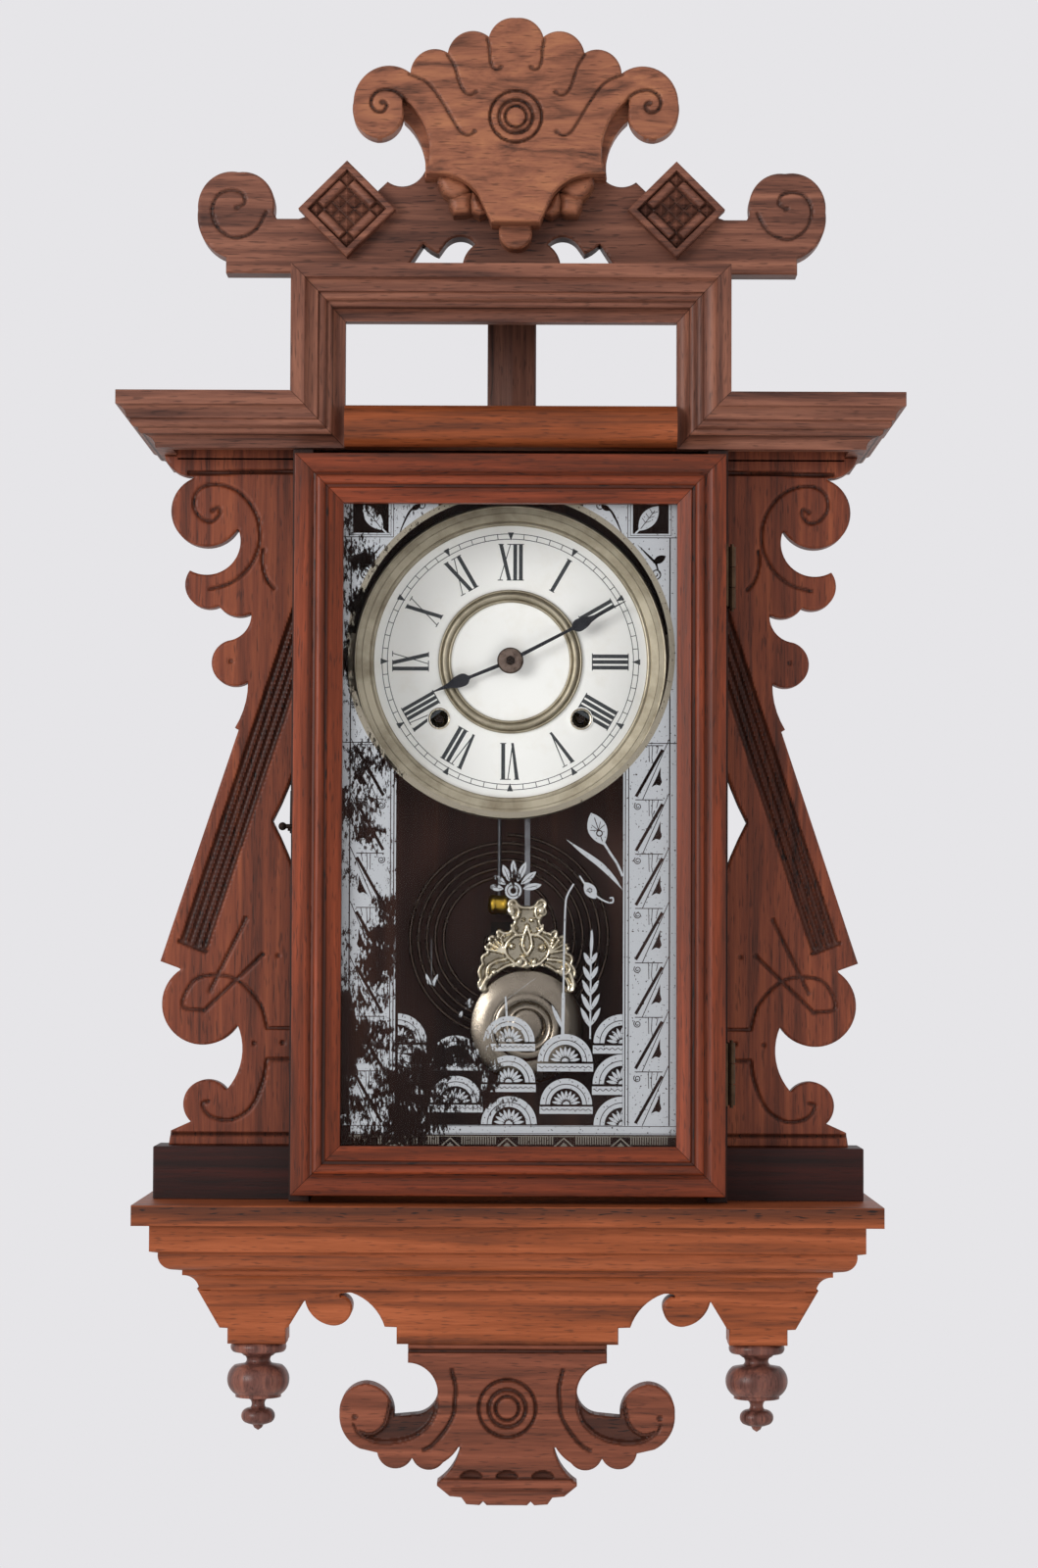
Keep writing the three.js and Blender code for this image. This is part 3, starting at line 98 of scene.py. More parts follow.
def path(steps, degrees=7.0):
    """A line through [x, z] corners and [mx, mz, x, z] arcs, each the circle through its start, middle and end."""
    out = [np.array(steps[0], float)]
    for s in steps[1:]:
        a, c = out[-1], np.array(s[-2:], float)
        if len(s) == 2:
            out.append(c)
            continue
        b = np.array(s[:2], float)
        d = 2 * (a[0] * (b[1] - c[1]) + b[0] * (c[1] - a[1]) + c[0] * (a[1] - b[1]))
        q = [v @ v for v in (a, b, c)]
        o = np.array([q[0] * (b[1] - c[1]) + q[1] * (c[1] - a[1]) + q[2] * (a[1] - b[1]),
                      q[0] * (c[0] - b[0]) + q[1] * (a[0] - c[0]) + q[2] * (b[0] - a[0])]) / d
        start, end = (math.atan2(*(v - o)[::-1]) for v in (a, c))
        sweep = (end - start) % (2 * math.pi) if d > 0 else -((start - end) % (2 * math.pi))
        n = max(3, math.ceil(abs(math.degrees(sweep)) / degrees))
        t = start + sweep * np.arange(1, n + 1) / n
        out.extend(o + np.linalg.norm(a - o) * np.stack([np.cos(t), np.sin(t)], 1))
    return np.array(out)


def curve(points, per=10):
    """A smooth line through the points: Catmull-Rom, each span the cubic of its four neighbouring points."""
    p = np.array(points, float)
    p = np.vstack([2 * p[0] - p[1], p, 2 * p[-1] - p[-2]])
    t = (np.arange(per) / per)[:, None]
    spans = [0.5 * (2 * b + (c - a) * t + (2 * a - 5 * b + 4 * c - d) * t**2 + (3 * b - a - 3 * c + d) * t**3)
             for a, b, c, d in zip(p, p[1:], p[2:], p[3:])]
    return np.vstack([*spans, p[-2:-1]])


def spiral(x, z, r0, r1, from_deg, turns, n=60):
    """A spiral line about (x, z): radius runs evenly from r0 to r1 while the bearing turns."""
    t = np.linspace(0, 1, n)
    a = np.radians(from_deg) + 2 * math.pi * turns * t
    r = r0 + (r1 - r0) * t
    return np.stack([x + r * np.cos(a), z + r * np.sin(a)], 1)


def mirror(line):
    """A line turned over x = 0 and run the other way."""
    return np.array(line)[::-1] * [-1, 1]


def both(half):
    """A symmetric closed outline from its right half, whose ends lie on x = 0."""
    return np.vstack([half, mirror(half)[1:-1]])


def shift(line, x=0.0, z=0.0):
    """A line moved by (x, z)."""
    return np.array(line) + [x, z]


def swung(points, deg):
    """Points (x, z) turned clockwise about the origin: (x cos a + z sin a, z cos a - x sin a)."""
    x, z = np.array(points, float).T
    c, s = math.cos(math.radians(deg)), math.sin(math.radians(deg))
    return np.stack([x * c + z * s, -x * s + z * c], 1)


def distance(points, line, closed=False):
    """Distance to a line and the nearest point on it: the least over segments of |p - (a + t (b - a))|, t in 0..1."""
    a = np.array(line, float)
    b = np.roll(a, -1, 0) if closed else a[1:]
    a = a if closed else a[:-1]
    ab = b - a
    length = np.maximum((ab**2).sum(1), 1e-12)
    best = np.empty(len(points))
    near = np.empty((len(points), 2))
    for k in range(0, len(points), 4000):
        p = points[k : k + 4000, None]
        t = np.clip(((p - a) * ab).sum(2) / length, 0, 1)
        q = a + t[..., None] * ab
        d = ((p - q) ** 2).sum(2)
        i = d.argmin(1)
        rows = np.arange(len(i))
        best[k : k + 4000] = np.sqrt(d[rows, i])
        near[k : k + 4000] = q[rows, i]
    return best, near


def within(points, loop):
    """True inside a closed outline: a ray to the right crosses it an odd number of times."""
    a = np.array(loop, float)
    b = np.roll(a, -1, 0)
    x, z = points[:, 0], points[:, 1]
    odd = np.zeros(len(points), bool)
    for (ax, az), (bx, bz) in zip(a, b):
        if az != bz:
            odd ^= ((az > z) != (bz > z)) & (x < (bx - ax) * (z - az) / (bz - az) + ax)
    return odd


def groove(points, line, width, depth):
    """Depth of a cut along a line: depth (1 - (2 d / width)^2), and nothing beyond half the width."""
    line = np.array(line, float)
    out = np.zeros(len(points))
    lo, hi = line.min(0) - width, line.max(0) + width
    k = np.nonzero(((points > lo) & (points < hi)).all(1))[0]
    if len(k):
        d = distance(points[k], line)[0]
        out[k] = depth * np.clip(1 - (2 * d / width) ** 2, 0, 1)
    return out


def dimple(points, x, z, r, depth):
    """Depth of a drilled dot: depth (1 - (d / r)^4)."""
    d = np.hypot(points[:, 0] - x, points[:, 1] - z)
    return depth * np.clip(1 - (d / r) ** 4, 0, 1)


def ease(t):
    """0 below 0, 1 above 1 and a smooth 3t^2 - 2t^3 between."""
    t = np.clip(t, 0, 1)
    return t * t * (3 - 2 * t)


# ---------------------------------------------------------------- meshes


def piece(name, points, faces, body, slot, material, replaces=None, smooth=32.0, marks=None, seed=0.0):
    """A finished piece: points in millimetres to metres, faces as an index array or lists, riding on a body."""
    mesh = bpy.data.meshes.new(name)
    faces = faces.tolist() if isinstance(faces, np.ndarray) else faces
    mesh.from_pydata((np.asarray(points, float) * MM).tolist(), [], faces)
    for key, values in {"board": np.full(len(points), seed), **(marks or {})}.items():
        mesh.attributes.new(key, "FLOAT", "POINT").data.foreach_set("value", np.asarray(values, np.float32))
    mesh.shade_smooth()
    mesh.set_sharp_from_angle(angle=math.radians(smooth))
    mesh.materials.append(material)
    made = bpy.data.objects.new(name, mesh)
    bpy.context.scene.collection.objects.link(made)
    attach(made, body)
    BUILT.append(name)
    if replaces:
        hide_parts(replaces)
    return made


def carved(loop, front, back, relief=None, cell=0.8, edge=1.1):
    """A sawn and carved board: a square grid whose border is pulled onto the outline, its face sunk by the relief.

    Face depth = edge rounding r - sqrt(r^2 - (r - e)^2) at e from the outline, plus relief(points). The walls run
    straight back to a flat rear face. Returns points, faces and the marks of cut depth, which the wood darkens as
    painted shade, and of worn edges.
    """
    loop = np.array(loop, float)
    lo, hi = loop.min(0) - cell, loop.max(0) + cell
    xs, zs = (np.arange(lo[k], hi[k] + cell, cell) for k in (0, 1))
    grid = np.stack(np.meshgrid(xs, zs, indexing="ij"), -1).reshape(-1, 2)
    gap, near = distance(grid, loop, True)
    use = np.where(within(grid, loop), -gap, gap) < 0.5 * cell
    quads = grid_faces(len(xs), len(zs))[:, [0, 3, 2, 1]]
    quads = quads[use[quads].all(1)]
    kept, quads = np.unique(quads, return_inverse=True)
    quads = quads.reshape(-1, 4)
    points, gap, near = grid[kept], gap[kept], near[kept]
    n = len(kept)
    a, b = quads.ravel(), np.roll(quads, -1, 1).ravel()
    border = ~np.isin(a * n + b, b * n + a)
    a, b = a[border], b[border]
    rim = np.unique(a)
    points[rim] = near[rim]
    turn = np.roll(loop, -1, 0) - loop
    bend = turn / np.maximum(np.linalg.norm(turn, axis=1), 1e-9)[:, None]
    for corner in loop[(bend * np.roll(bend, 1, 0)).sum(1) < math.cos(math.radians(28))]:
        points[rim[((points[rim] - corner) ** 2).sum(1).argmin()]] = corner
    inner = np.where(np.isin(np.arange(n), rim), 0.0, gap)
    cut = relief(points) if relief else np.zeros(n)
    round_off = edge - np.sqrt(np.maximum(edge**2 - (edge - np.clip(inner, 0, edge)) ** 2, 0))
    face = front + np.minimum(cut + round_off, back - front - 0.5)
    verts = np.vstack([np.column_stack([points[:, 0], face, points[:, 1]]),
                       np.column_stack([points[:, 0], np.full(n, back), points[:, 1]])])
    faces = np.vstack([quads, quads[:, ::-1] + n, np.stack([b, a, a + n, b + n], 1)])
    return verts, faces, {"cut": np.tile(cut, 2), "worn": np.tile(np.clip(1 - inner / 2.2, 0, 1), 2)}


def grid_faces(rows, columns, close_rows=False, close_columns=False):
    """Quads of a rows x columns grid of points, which may close round on itself either way."""
    r = np.arange(rows if close_rows else rows - 1)
    c = np.arange(columns if close_columns else columns - 1)
    i, j = (v.ravel() for v in np.meshgrid(r, c, indexing="ij"))
    i2, j2 = (i + 1) % rows, (j + 1) % columns
    return np.stack([i * columns + j, i * columns + j2, i2 * columns + j2, i2 * columns + j], 1)


def run(profile, stations):
    """A moulding: a closed profile of (w, d) points carried through stations that map it to space, ends capped.

    The mark of the quirks darkens them as painted shade: how far the profile lies below the mean of its neighbours
    within 2 mm.
    """
    w, d = profile[:, 0], profile[:, 1]
    rings_of = [np.column_stack(np.broadcast_arrays(*at(w, d))).astype(float) for at in stations]
    n, m = len(profile), len(rings_of)
    points = np.vstack(rings_of)
    faces = capped(grid_faces(m, n, False, True).tolist(), n, m * n)
    gaps = np.hypot(*(profile[:, None] - profile[None]).transpose(2, 0, 1))
    weight = np.clip(1 - gaps / 2.0, 0, None)
    sunk = np.clip((weight @ d) / weight.sum(1) - d, 0, None)
    marks = {"cut": np.tile(np.clip(sunk * 3.4, 0, 1.7), m), "worn": np.zeros(n * m)}
    return outward(points, faces), marks


def outward(points, faces):
    """Turns a closed shell's faces to point out: the sum of a . (b x c) over its triangles is positive."""
    volume = 0.0
    for f in faces[:]:
        p = points[list(f)]
        volume += np.einsum("ij,ij->", np.cross(p[1:-1], p[2:]), np.broadcast_to(p[0], p[2:].shape))
    return points, ([f[::-1] for f in faces] if volume < 0 else faces)


def turned(profile, sides, place, closed=False):
    """A turning: (radius, height) points swept round an axis, place(across, over, height) putting it in space."""
    r, h = np.array(profile, float).T
    a = 2 * math.pi * np.arange(sides) / sides
    ring = [np.outer(r, np.cos(a)), np.outer(r, np.sin(a)), np.repeat(h[:, None], sides, 1)]
    points = np.column_stack([v.ravel() for v in np.broadcast_arrays(*place(*ring))])
    faces = grid_faces(len(r), sides, closed, True).tolist()
    return outward(points, faces if closed else capped(faces, sides, len(points)))


def capped(faces, sides, count):
    """The faces of a tube of rings with a polygon over its first and over its last ring."""
    return faces + [list(range(sides))[::-1], list(range(count - sides, count))]


def about_y(x=0.0, z=0.0):
    """Places a turning on an axis that runs back through (x, z)."""
    return lambda u, v, h: (x + u, h, z + v)


def about_z(x, y):
    """Places a turning on an upright axis through (x, y)."""
    return lambda u, v, h: (x + u, y + v, h)


def tube(line, radius, sides=12):
    """A round wire along a line of (x, y, z): each ring lies square to the line, turned with it, ends capped."""
    line = np.array(line, float)
    t = np.gradient(line, axis=0)
    t /= np.linalg.norm(t, axis=1)[:, None]
    up = np.array([0, 1, 0]) if abs(t[:, 1]).max() < 0.9 else np.array([1, 0, 0])
    u = np.cross(t, up)
    u /= np.linalg.norm(u, axis=1)[:, None]
    v = np.cross(t, u)
    a = 2 * math.pi * np.arange(sides) / sides
    ring = u[:, None] * np.cos(a)[None, :, None] + v[:, None] * np.sin(a)[None, :, None]
    points = (line[:, None] + radius * ring).reshape(-1, 3)
    return outward(points, capped(grid_faces(len(line), sides, False, True).tolist(), sides, len(points)))


def joined(*parts):
    """Several shells in one mesh: the points one after another, each part's faces moved on by what came before."""
    points, faces, count = [], [], 0
    for p, f in parts:
        points.append(np.asarray(p, float))
        faces += [[int(i) + count for i in face] for face in f]
        count += len(p)
    return np.vstack(points), faces


def box(x0, x1, y0, y1, z0, z1, b):
    """A block with its edges taken off by a flat bevel b: four rings of eight points stacked along z."""
    x0, x1, points = min(x0, x1), max(x0, x1), []
    for z, i in ((z0, b), (z0 + b, 0), (z1 - b, 0), (z1, b)):
        points += [[x0 + i + b, y0 + i, z], [x1 - i - b, y0 + i, z], [x1 - i, y0 + i + b, z], [x1 - i, y1 - i - b, z],
                   [x1 - i - b, y1 - i, z], [x0 + i + b, y1 - i, z], [x0 + i, y1 - i - b, z], [x0 + i, y0 + i + b, z]]
    points, faces = outward(np.array(points, float), capped(grid_faces(4, 8, False, True).tolist(), 8, 32))
    return points, faces, {"cut": np.zeros(32), "worn": np.zeros(32)}


def flat(loop, y, thick=0.0):
    """A thin flat patch of an outline at a height y; with a thickness it is a closed plate running back from y."""
    loop = np.array(loop, float)
    n = len(loop)
    if (loop[:, 0] * np.roll(loop[:, 1], -1) - loop[:, 1] * np.roll(loop[:, 0], -1)).sum() < 0:
        loop = loop[::-1]
    points = np.column_stack([loop[:, 0], np.full(n, y), loop[:, 1]])
    faces = [list(range(n))]
    if thick:
        points = np.vstack([points, points + [0, thick, 0]])
        faces.append(list(range(n, 2 * n))[::-1])
        faces += [[(i + 1) % n, i, i + n, (i + 1) % n + n] for i in range(n)]
    return points, faces


def stroke(line, width, y):
    """A drawn line as a flat strip: the line moved by half its width to either side."""
    line = np.array(line, float)
    t = np.gradient(line, axis=0)
    side = np.stack([-t[:, 1], t[:, 0]], 1) * (0.5 * width / np.maximum(np.linalg.norm(t, axis=1), 1e-9))[:, None]
    n = len(line)
    points = np.vstack([line + side, line - side])
    return (np.column_stack([points[:, 0], np.full(2 * n, y), points[:, 1]]),
            [[i + n, i + 1 + n, i + 1, i] for i in range(n - 1)])


# ---------------------------------------------------------------- materials


def node(tree, kind, inputs=None, **settings):
    """Adds one node: settings are its properties, inputs its sockets' values or the sockets linked to them."""
    made = tree.nodes.new("ShaderNode" + kind)
    for key, value in settings.items():
        setattr(made, key, value)
    for key, value in (inputs or {}).items():
        if isinstance(value, bpy.types.NodeSocket):
            tree.links.new(value, made.inputs[key])
        else:
            made.inputs[key].default_value = value
    return made


def ramp(tree, fac, stops):
    """A colour ramp through (position, colour) stops."""
    made = node(tree, "ValToRGB", {"Fac": fac})
    bar = made.color_ramp
    while len(bar.elements) < len(stops):
        bar.elements.new(0.5)
    for element, (at, colour) in zip(bar.elements, stops):
        element.position, element.color = at, colour
    return made.outputs["Color"]


def noise(t, vector, scale=1.0, detail=2.0, rough=0.5, warp=0.0, board=None):
    """A noise texture's value, in four dimensions where a board has a number of its own."""
    inputs = {"Vector": vector, "Scale": scale, "Detail": detail, "Roughness": rough, "Distortion": warp}
    if board is None:
        return node(t, "TexNoise", inputs).outputs["Fac"]
    return node(t, "TexNoise", {**inputs, "W": board}, noise_dimensions="4D").outputs["Fac"]


def span(t, value, low, high, to_low=0.0, to_high=1.0, kind="LINEAR"):
    """A value from low..high carried to to_low..to_high and held at both ends."""
    return node(t, "MapRange", {"Value": value, "From Min": low, "From Max": high, "To Min": to_low, "To Max": to_high},
                interpolation_type=kind).outputs["Result"]


def sums(t, how, *values):
    """A Math node on two or three values, numbers or sockets."""
    return node(t, "Math", dict(enumerate(values)), operation=how).outputs[0]


def mixed(t, factor, a, b):
    """Colour a carried to colour b by the factor."""
    return node(t, "Mix", {"Factor": factor, "A": a, "B": b}, data_type="RGBA").outputs["Result"]


def mark(t, name):
    """A mesh mark: board (its number), depth below the face plus any painted shade, or worn (nearness to an edge)."""
    return node(t, "Attribute", attribute_name=name).outputs["Fac"]


def spot(t):
    """A point's own place on its piece, in metres."""
    return node(t, "TexCoord").outputs["Object"]


def bumped(t, height, strength, reach):
    """A normal tilted by a height that reaches the given metres."""
    return node(t, "Bump", {"Height": height, "Strength": strength, "Distance": reach}).outputs[0]


def shaded(t, colour, rough, **more):
    """The surface shader, with any further inputs by their names, _ standing for a space."""
    inputs = {"Base Color": colour, "Roughness": rough, **{k.replace("_", " "): v for k, v in more.items()}}
    return node(t, "BsdfPrincipled", inputs).outputs[0]


MADE = {}
BUILT = []


def finish(name, paint):
    """Makes each finish once and hands it out by name: paint(tree) gives the shader socket of its surface."""
    if name not in MADE:
        MADE[name] = bpy.data.materials.new(name)
        MADE[name].use_nodes = True
        tree = MADE[name].node_tree
        tree.nodes.clear()
        node(tree, "OutputMaterial", {"Surface": paint(tree)})
    return MADE[name]


def walnut(tone, along):
    """Shellacked black walnut, sawn and rubbed: long streaks 10 mm wide, fibres under 1 mm, dark open pores, painted
    shade in the cuts.
    """
    look = bpy.context.scene.clock_wood
    pale, mid, deep = map(srgb, getattr(look, tone).split())
    gloss = {"door": 0.4, "base": 0.42, "plinth": 0.5, "turned": 0.3, "dark": 0.6}.get(tone, 0.44)
    coarse = look.figure if tone == "shell" else 1.0
    lean = (0, math.radians(-14) if along == "tilt" else 0, 0)

    def paint(t):
        place, board = spot(t), mark(t, "board")

        def drawn(long, wide, *form):
            scale = (wide, wide, long) if along == "z" else (long, wide, wide)
            grain = node(t, "Mapping", {"Vector": place, "Scale": scale, "Rotation": lean}).outputs[0]
            return noise(t, grain, 1.0, *form, board=board)

        figure = drawn(18.0 if along == "tilt" else 6.0, 150.0 / coarse, 4.0, 0.62, 0.7 * coarse)
        fibre = drawn(60, 1400, 2.0, 0.6)
        pore = span(t, drawn(130, 1100, 0.0), 0.64, 0.74)
        blend = sums(t, "MULTIPLY_ADD", span(t, figure, 0.3, 0.72), 0.68, sums(t, "MULTIPLY", fibre, 0.36))
        wood = ramp(t, blend, [(0.2, deep), (0.5, mid), (0.8, pale)])
        # painted shade: the deeper the cut, the darker the wood, standing in for shade in the hollows; the dark pores
        # are the wood's own
        painted_hollow_shade = span(t, mark(t, "cut"), 0.1, 1.3, 0, 0.72)
        pored_and_shaded = mixed(t, sums(t, "MULTIPLY_ADD", pore, 0.45, painted_hollow_shade), wood, srgb("1c100d"))
        rubbed = span(t, noise(t, place, 55.0, 3.0), 0.45, 0.7, 0, 0.4)
        colour = mixed(t, sums(t, "MULTIPLY", mark(t, "worn"), rubbed), pored_and_shaded, pale)
        return shaded(t, colour, span(t, fibre, 0, 1, gloss - 0.06, gloss + 0.12), Specular_IOR_Level=0.26,
                      Normal=bumped(t, sums(t, "MULTIPLY_ADD", pore, -0.6, fibre), 0.16, 0.0004))

    return finish(f"Shellacked walnut, {tone}, grain {along}", paint)


def pine():
    """Rough-sawn pine stained brown: wide soft bands and saw marks, no finish."""
    deep, mid, pale = map(srgb, bpy.context.scene.clock_wood.pine.split())

    def paint(t):
        grain = node(t, "Mapping", {"Vector": spot(t), "Scale": (55, 20, 3)}).outputs[0]
        colour = ramp(t, noise(t, grain, 1.0, 5.0, warp=0.8), [(0.3, deep), (0.55, mid), (0.75, pale)])
        return shaded(t, colour, 0.72, Normal=bumped(t, noise(t, grain, 30.0), 0.25, 0.0005))

    return finish("Stained pine back", paint)


# each metal's name, roughness, how far its spots hide the colour and how many of them go into a metre
METALS = {
    "nickel": ("Dulled nickel plate", 0.44, 0.8, 45),
    "casting": ("Nickelled casting", 0.22, 0.8, 110),
    "spun": ("Spun nickel", 0.24, 0.5, 30),
    "brass": ("Rolled clock brass", 0.36, 0.7, 70),
    "smoked": ("Oil darkened brass", 0.55, 0.8, 60),
    "bright": ("Bright rolled brass", 0.3, 0.5, 70),
    "steel": ("Drawn grey steel", 0.38, 0.7, 120),
    "bronze": ("Dark bronzed brass", 0.42, 0.7, 90),
    "blued": ("Blued steel", 0.38, 0.6, 160),
    "collet": ("Worn browned steel", 0.35, 0.9, 300),
    "spring": ("Blackened spring steel", 0.2, 0.6, 90),
    "iron": ("Blackened iron", 0.55, 0.7, 90),
}


def metal(kind):
    """Bare or plated metal: a plain reflecting colour, clouded by handling and tarnish in soft blots and specks."""
    name, rough, spots, scale = METALS[kind]
    colour, stain = map(srgb, getattr(bpy.context.scene.clock_metal, kind).split())

    def paint(t):
        place = spot(t)
        cloud = noise(t, place, scale, 6.0, 0.65)
        tint = mixed(t, span(t, cloud, 0.42, 0.72, 0, spots), colour, stain)
        tint = mixed(t, span(t, mark(t, "cut"), 1.1, 2.3, 0, 0.55), tint, srgb("2a2119"))
        return shaded(t, tint, span(t, cloud, 0.3, 0.75, rough - 0.05, rough + 0.16), Metallic=1.0,
                      Normal=bumped(t, noise(t, place, scale * 14), 0.06, 0.0003))

    return finish(name, paint)


def plain(name, tones, rough, scale, amount):
    """A painted or printed surface: its colour with faint cloudy wear towards the other."""
    colour, other = map(srgb, tones.split())

    def paint(t):
        worn = span(t, noise(t, spot(t), scale, 5.0, 0.7), 0.5, 0.75, 0, amount)
        return shaded(t, mixed(t, worn, colour, other), rough)

    return finish(name, paint)


def window_glass():
    """Thin blown glass: almost clear, with a mirror gloss that grows at a slant."""

    def paint(t):
        clear = node(t, "BsdfTransparent", {"Color": srgb("ffffff")})
        shine = node(t, "BsdfGlossy", {"Color": srgb("ffffff"), "Roughness": 0.03})
        weight = sums(t, "MULTIPLY", node(t, "Fresnel", {"IOR": 1.45}).outputs[0], 0.09)
        return node(t, "MixShader", {0: weight, 1: clear.outputs[0], 2: shine.outputs[0]}).outputs[0]

    return finish("Old window glass", paint)


def silver_print(name, colour, rough):
    """Silvering fired on the glass and flaked by damp: whole on the right, broken to shreds on the left."""

    def paint(t):
        place = spot(t)
        x, _, z = node(t, "SeparateXYZ", {"Vector": place}).outputs
        drawn = node(t, "Mapping", {"Vector": place, "Scale": (1.5, 1, 0.55)}).outputs[0]
        side = span(t, x, -0.07, 0.06, 0.035, -0.2, "SMOOTHSTEP")
        low = span(t, z, 0.02, -0.2, -0.05, 0.05, "SMOOTHSTEP")
        loss = sums(t, "MULTIPLY_ADD", noise(t, place, 28.0, 3.0, 0.6), 0.9, side)
        loss = sums(t, "MULTIPLY_ADD", noise(t, drawn, 420.0, 4.0, 0.75), 0.55, loss)
        flaked = span(t, sums(t, "ADD", loss, low), 0.76, 0.79)
        gone = sums(t, "MAXIMUM", flaked, span(t, noise(t, place, 700.0, 1.0), 0.67, 0.7))
        clear = node(t, "BsdfTransparent").outputs[0]
        return node(t, "MixShader", {0: gone, 1: shaded(t, srgb(colour), rough, Metallic=0.15), 2: clear}).outputs[0]

    return finish(name, paint)


# ---------------------------------------------------------------- wood: boards and mouldings


def groups(points, cuts):
    """Depth of all cuts, the deepest winning: dots (x, z, r, depth) and lines (line, width, depth) spread by wear."""
    carving = bpy.context.scene.clock_carving
    out = np.zeros(len(points))
    for c in cuts:
        if np.ndim(c[0]) == 0:
            out = np.maximum(out, dimple(points, *c))
        else:
            out = np.maximum(out, groove(points, c[0], carving.spread * c[1], carving.sink * c[2]))
    return out


def twice(cuts):
    """The same cuts on both sides of x = 0."""
    other = [(-c[0], *c[1:]) if np.ndim(c[0]) == 0 else (mirror(c[0]), *c[1:]) for c in cuts]
    return [*cuts, *other]


def rings(x, z, r):
    """Grooves of a turned roundel: three circles, at r, 0.65 r and 0.41 r."""
    a = np.linspace(0, 2 * math.pi, 73)
    return [(np.stack([x + q * r * np.cos(a), z + q * r * np.sin(a)], 1), w * r, 1.25)
            for q, w in ((1, 0.12), (0.65, 0.15), (0.41, 0.12))]


CREST_HALF = [[0, 62], [44, 62], [48.6, 54.1], [60, 46.5, 69.1, 49], [75, 43.6], [118.2, 29], [130.6, 29], [132.4, 32],
              [137.2, 49, 152, 53.8], [170.5, 47, 174.5, 33.5], [171.5, 18.5, 158.7, 8.3], [158.7, 0], [60, 0],
              [49.1, 16], [44.5, 12.4, 40.5, 10.6], [36.8, 15.6], [28, 19.6, 20.1, 15.6], [25.8, 9.5, 27, 0], [0, 0]]
SHELL_TOP = [[0, 130.5], [12.5, 125.4, 15, 120.5], [28, 122.9, 37.6, 112], [49.5, 113, 58.1, 101.3],
             [78, 103.2, 89.3, 85.9], [86, 72, 76.3, 66.6], [65, 71.5, 62.3, 84]]
SHELL_FOOT = [[42.8, 48.4], [30.5, 45.8, 20.9, 38.2], [16.5, 31, 13.2, 23.4], [8.5, 23.2], [7.6, 14.6, 3.4, 11.2],
              [0, 10.8]]
CREST_TALL = 56.5 / 53.8
LEAVES = ([(43, 49.8), (43.4, 44.8), (40.2, 39.4), (36.8, 36.8), (33.1, 36.3), (28.7, 38), (24.7, 41.4), (27, 46),
           (36, 50)],
          [(37.2, 37.6), (36.9, 33), (34.4, 28.4), (27.4, 28.8), (24.6, 30), (24.2, 35), (23.4, 40.6), (30, 42)],
          [(24.6, 30), (20, 27.5), (15.3, 29.3), (17.4, 34), (20.9, 39.2), (24, 42), (25.6, 36)])
MOULDING = path([[0, -9], [29, -9], [29, 0], [25, 1.2, 22.8, 4.5], [22.3, 5.8], [21.6, 8, 19.6, 8.6], [19, 9.5],
                 [18.2, 11.9, 15, 12.6], [14.5, 14.5], [10.2, 15.9, 7.6, 20], [0, 20]])
FRIEZE = path([[0, 0], [23.5, 0], [23.5, 10.45], [14.57, 19.4, 7.05, 18.24], [2.35, 15.96, 0, 11.8]])
BASE = path([[0, 0], [37, 0], [37, 5], [31.5, 7.2, 28.5, 13.5], [25.8, 13.5], [25, 18.5], [21, 24.5, 15.4, 25.6],
             [14.4, 30], [0, 30]])
STILE = path([[0, 0], [22, 0], [22, 8], [26.5, 8], [26.5, 14], [19.2, 18.6], [18.4, 17.4], [17, 17.6],
              [14.8, 19.8, 11.6, 18.4], [10.4, 17.8], [8.4, 19.6], [7.6, 20], [0.6, 20], [0.18, 19.8, 0, 19.4]])
WING = [[0, 385], [74, 385], [69.5, 377.4, 58.4, 373.2], [57, 372.4], [70, 354, 32.5, 343.9], [38.2, 322, 59.3, 320.3],
        [61.4, 308.6, 42.9, 300.3], [33, 294.6, 24.8, 296.4], [29.4, 284.9, 37.9, 280.9], [46.8, 268.5, 26.4, 257.9],
        [28.3, 244, 33.5, 232.2], [31.4, 231.1], [74.1, 101.9], [62.3, 97.6], [70.8, 68.5, 30.8, 66.6],
        [28.2, 50.5, 36.6, 30.8], [58, 31, 56.5, 13], [67.5, 8], [68.6, 0], [0, 0], [0, 152.5],
        [6.5, 168.5, 12.2, 180.2], [6.3, 192.5, 0, 209.5]]
APRON_HALF = [[0, 37], [163.5, 37], [163.5, 0], [170.2, 0], [157.7, -21.3], [153.3, -21.5], [153.3, -30],
              [121.3, -30], [121.3, -21.5], [120.1, -20.9], [111, -6], [105.6, -15.6, 97, -19.8],
              [88, -17, 85.2, -8.6], [87.6, -4.8, 94.8, -4.1], [90.3, -2.3, 85.4, -2], [74.4, -8.8, 67.2, -20.5],
              [60.7, -20.7], [60.7, -30], [0, -30]]
DROP_HALF = [[0, 0], [54.5, 0], [54.5, -10.2], [41.8, -16.4, 38.3, -24], [41.5, -34.5, 50, -38.8], [62, -39.9],
             [66.8, -26.5, 77.4, -21.7], [88, -26.5, 91.8, -37.5], [88.9, -49.5, 80.6, -57], [71, -59.2],
             [62.4, -67.7, 51.9, -61.8], [44.5, -68.3, 35.1, -64.5], [29.5, -60, 25.4, -53.8],
             [28.5, -64.5, 38.3, -75.4], [38.3, -77], [31.3, -82.7], [24.9, -83.3], [22.2, -87], [15, -87.5],
             [13, -85.5], [11, -87.5], [0, -87.5]]
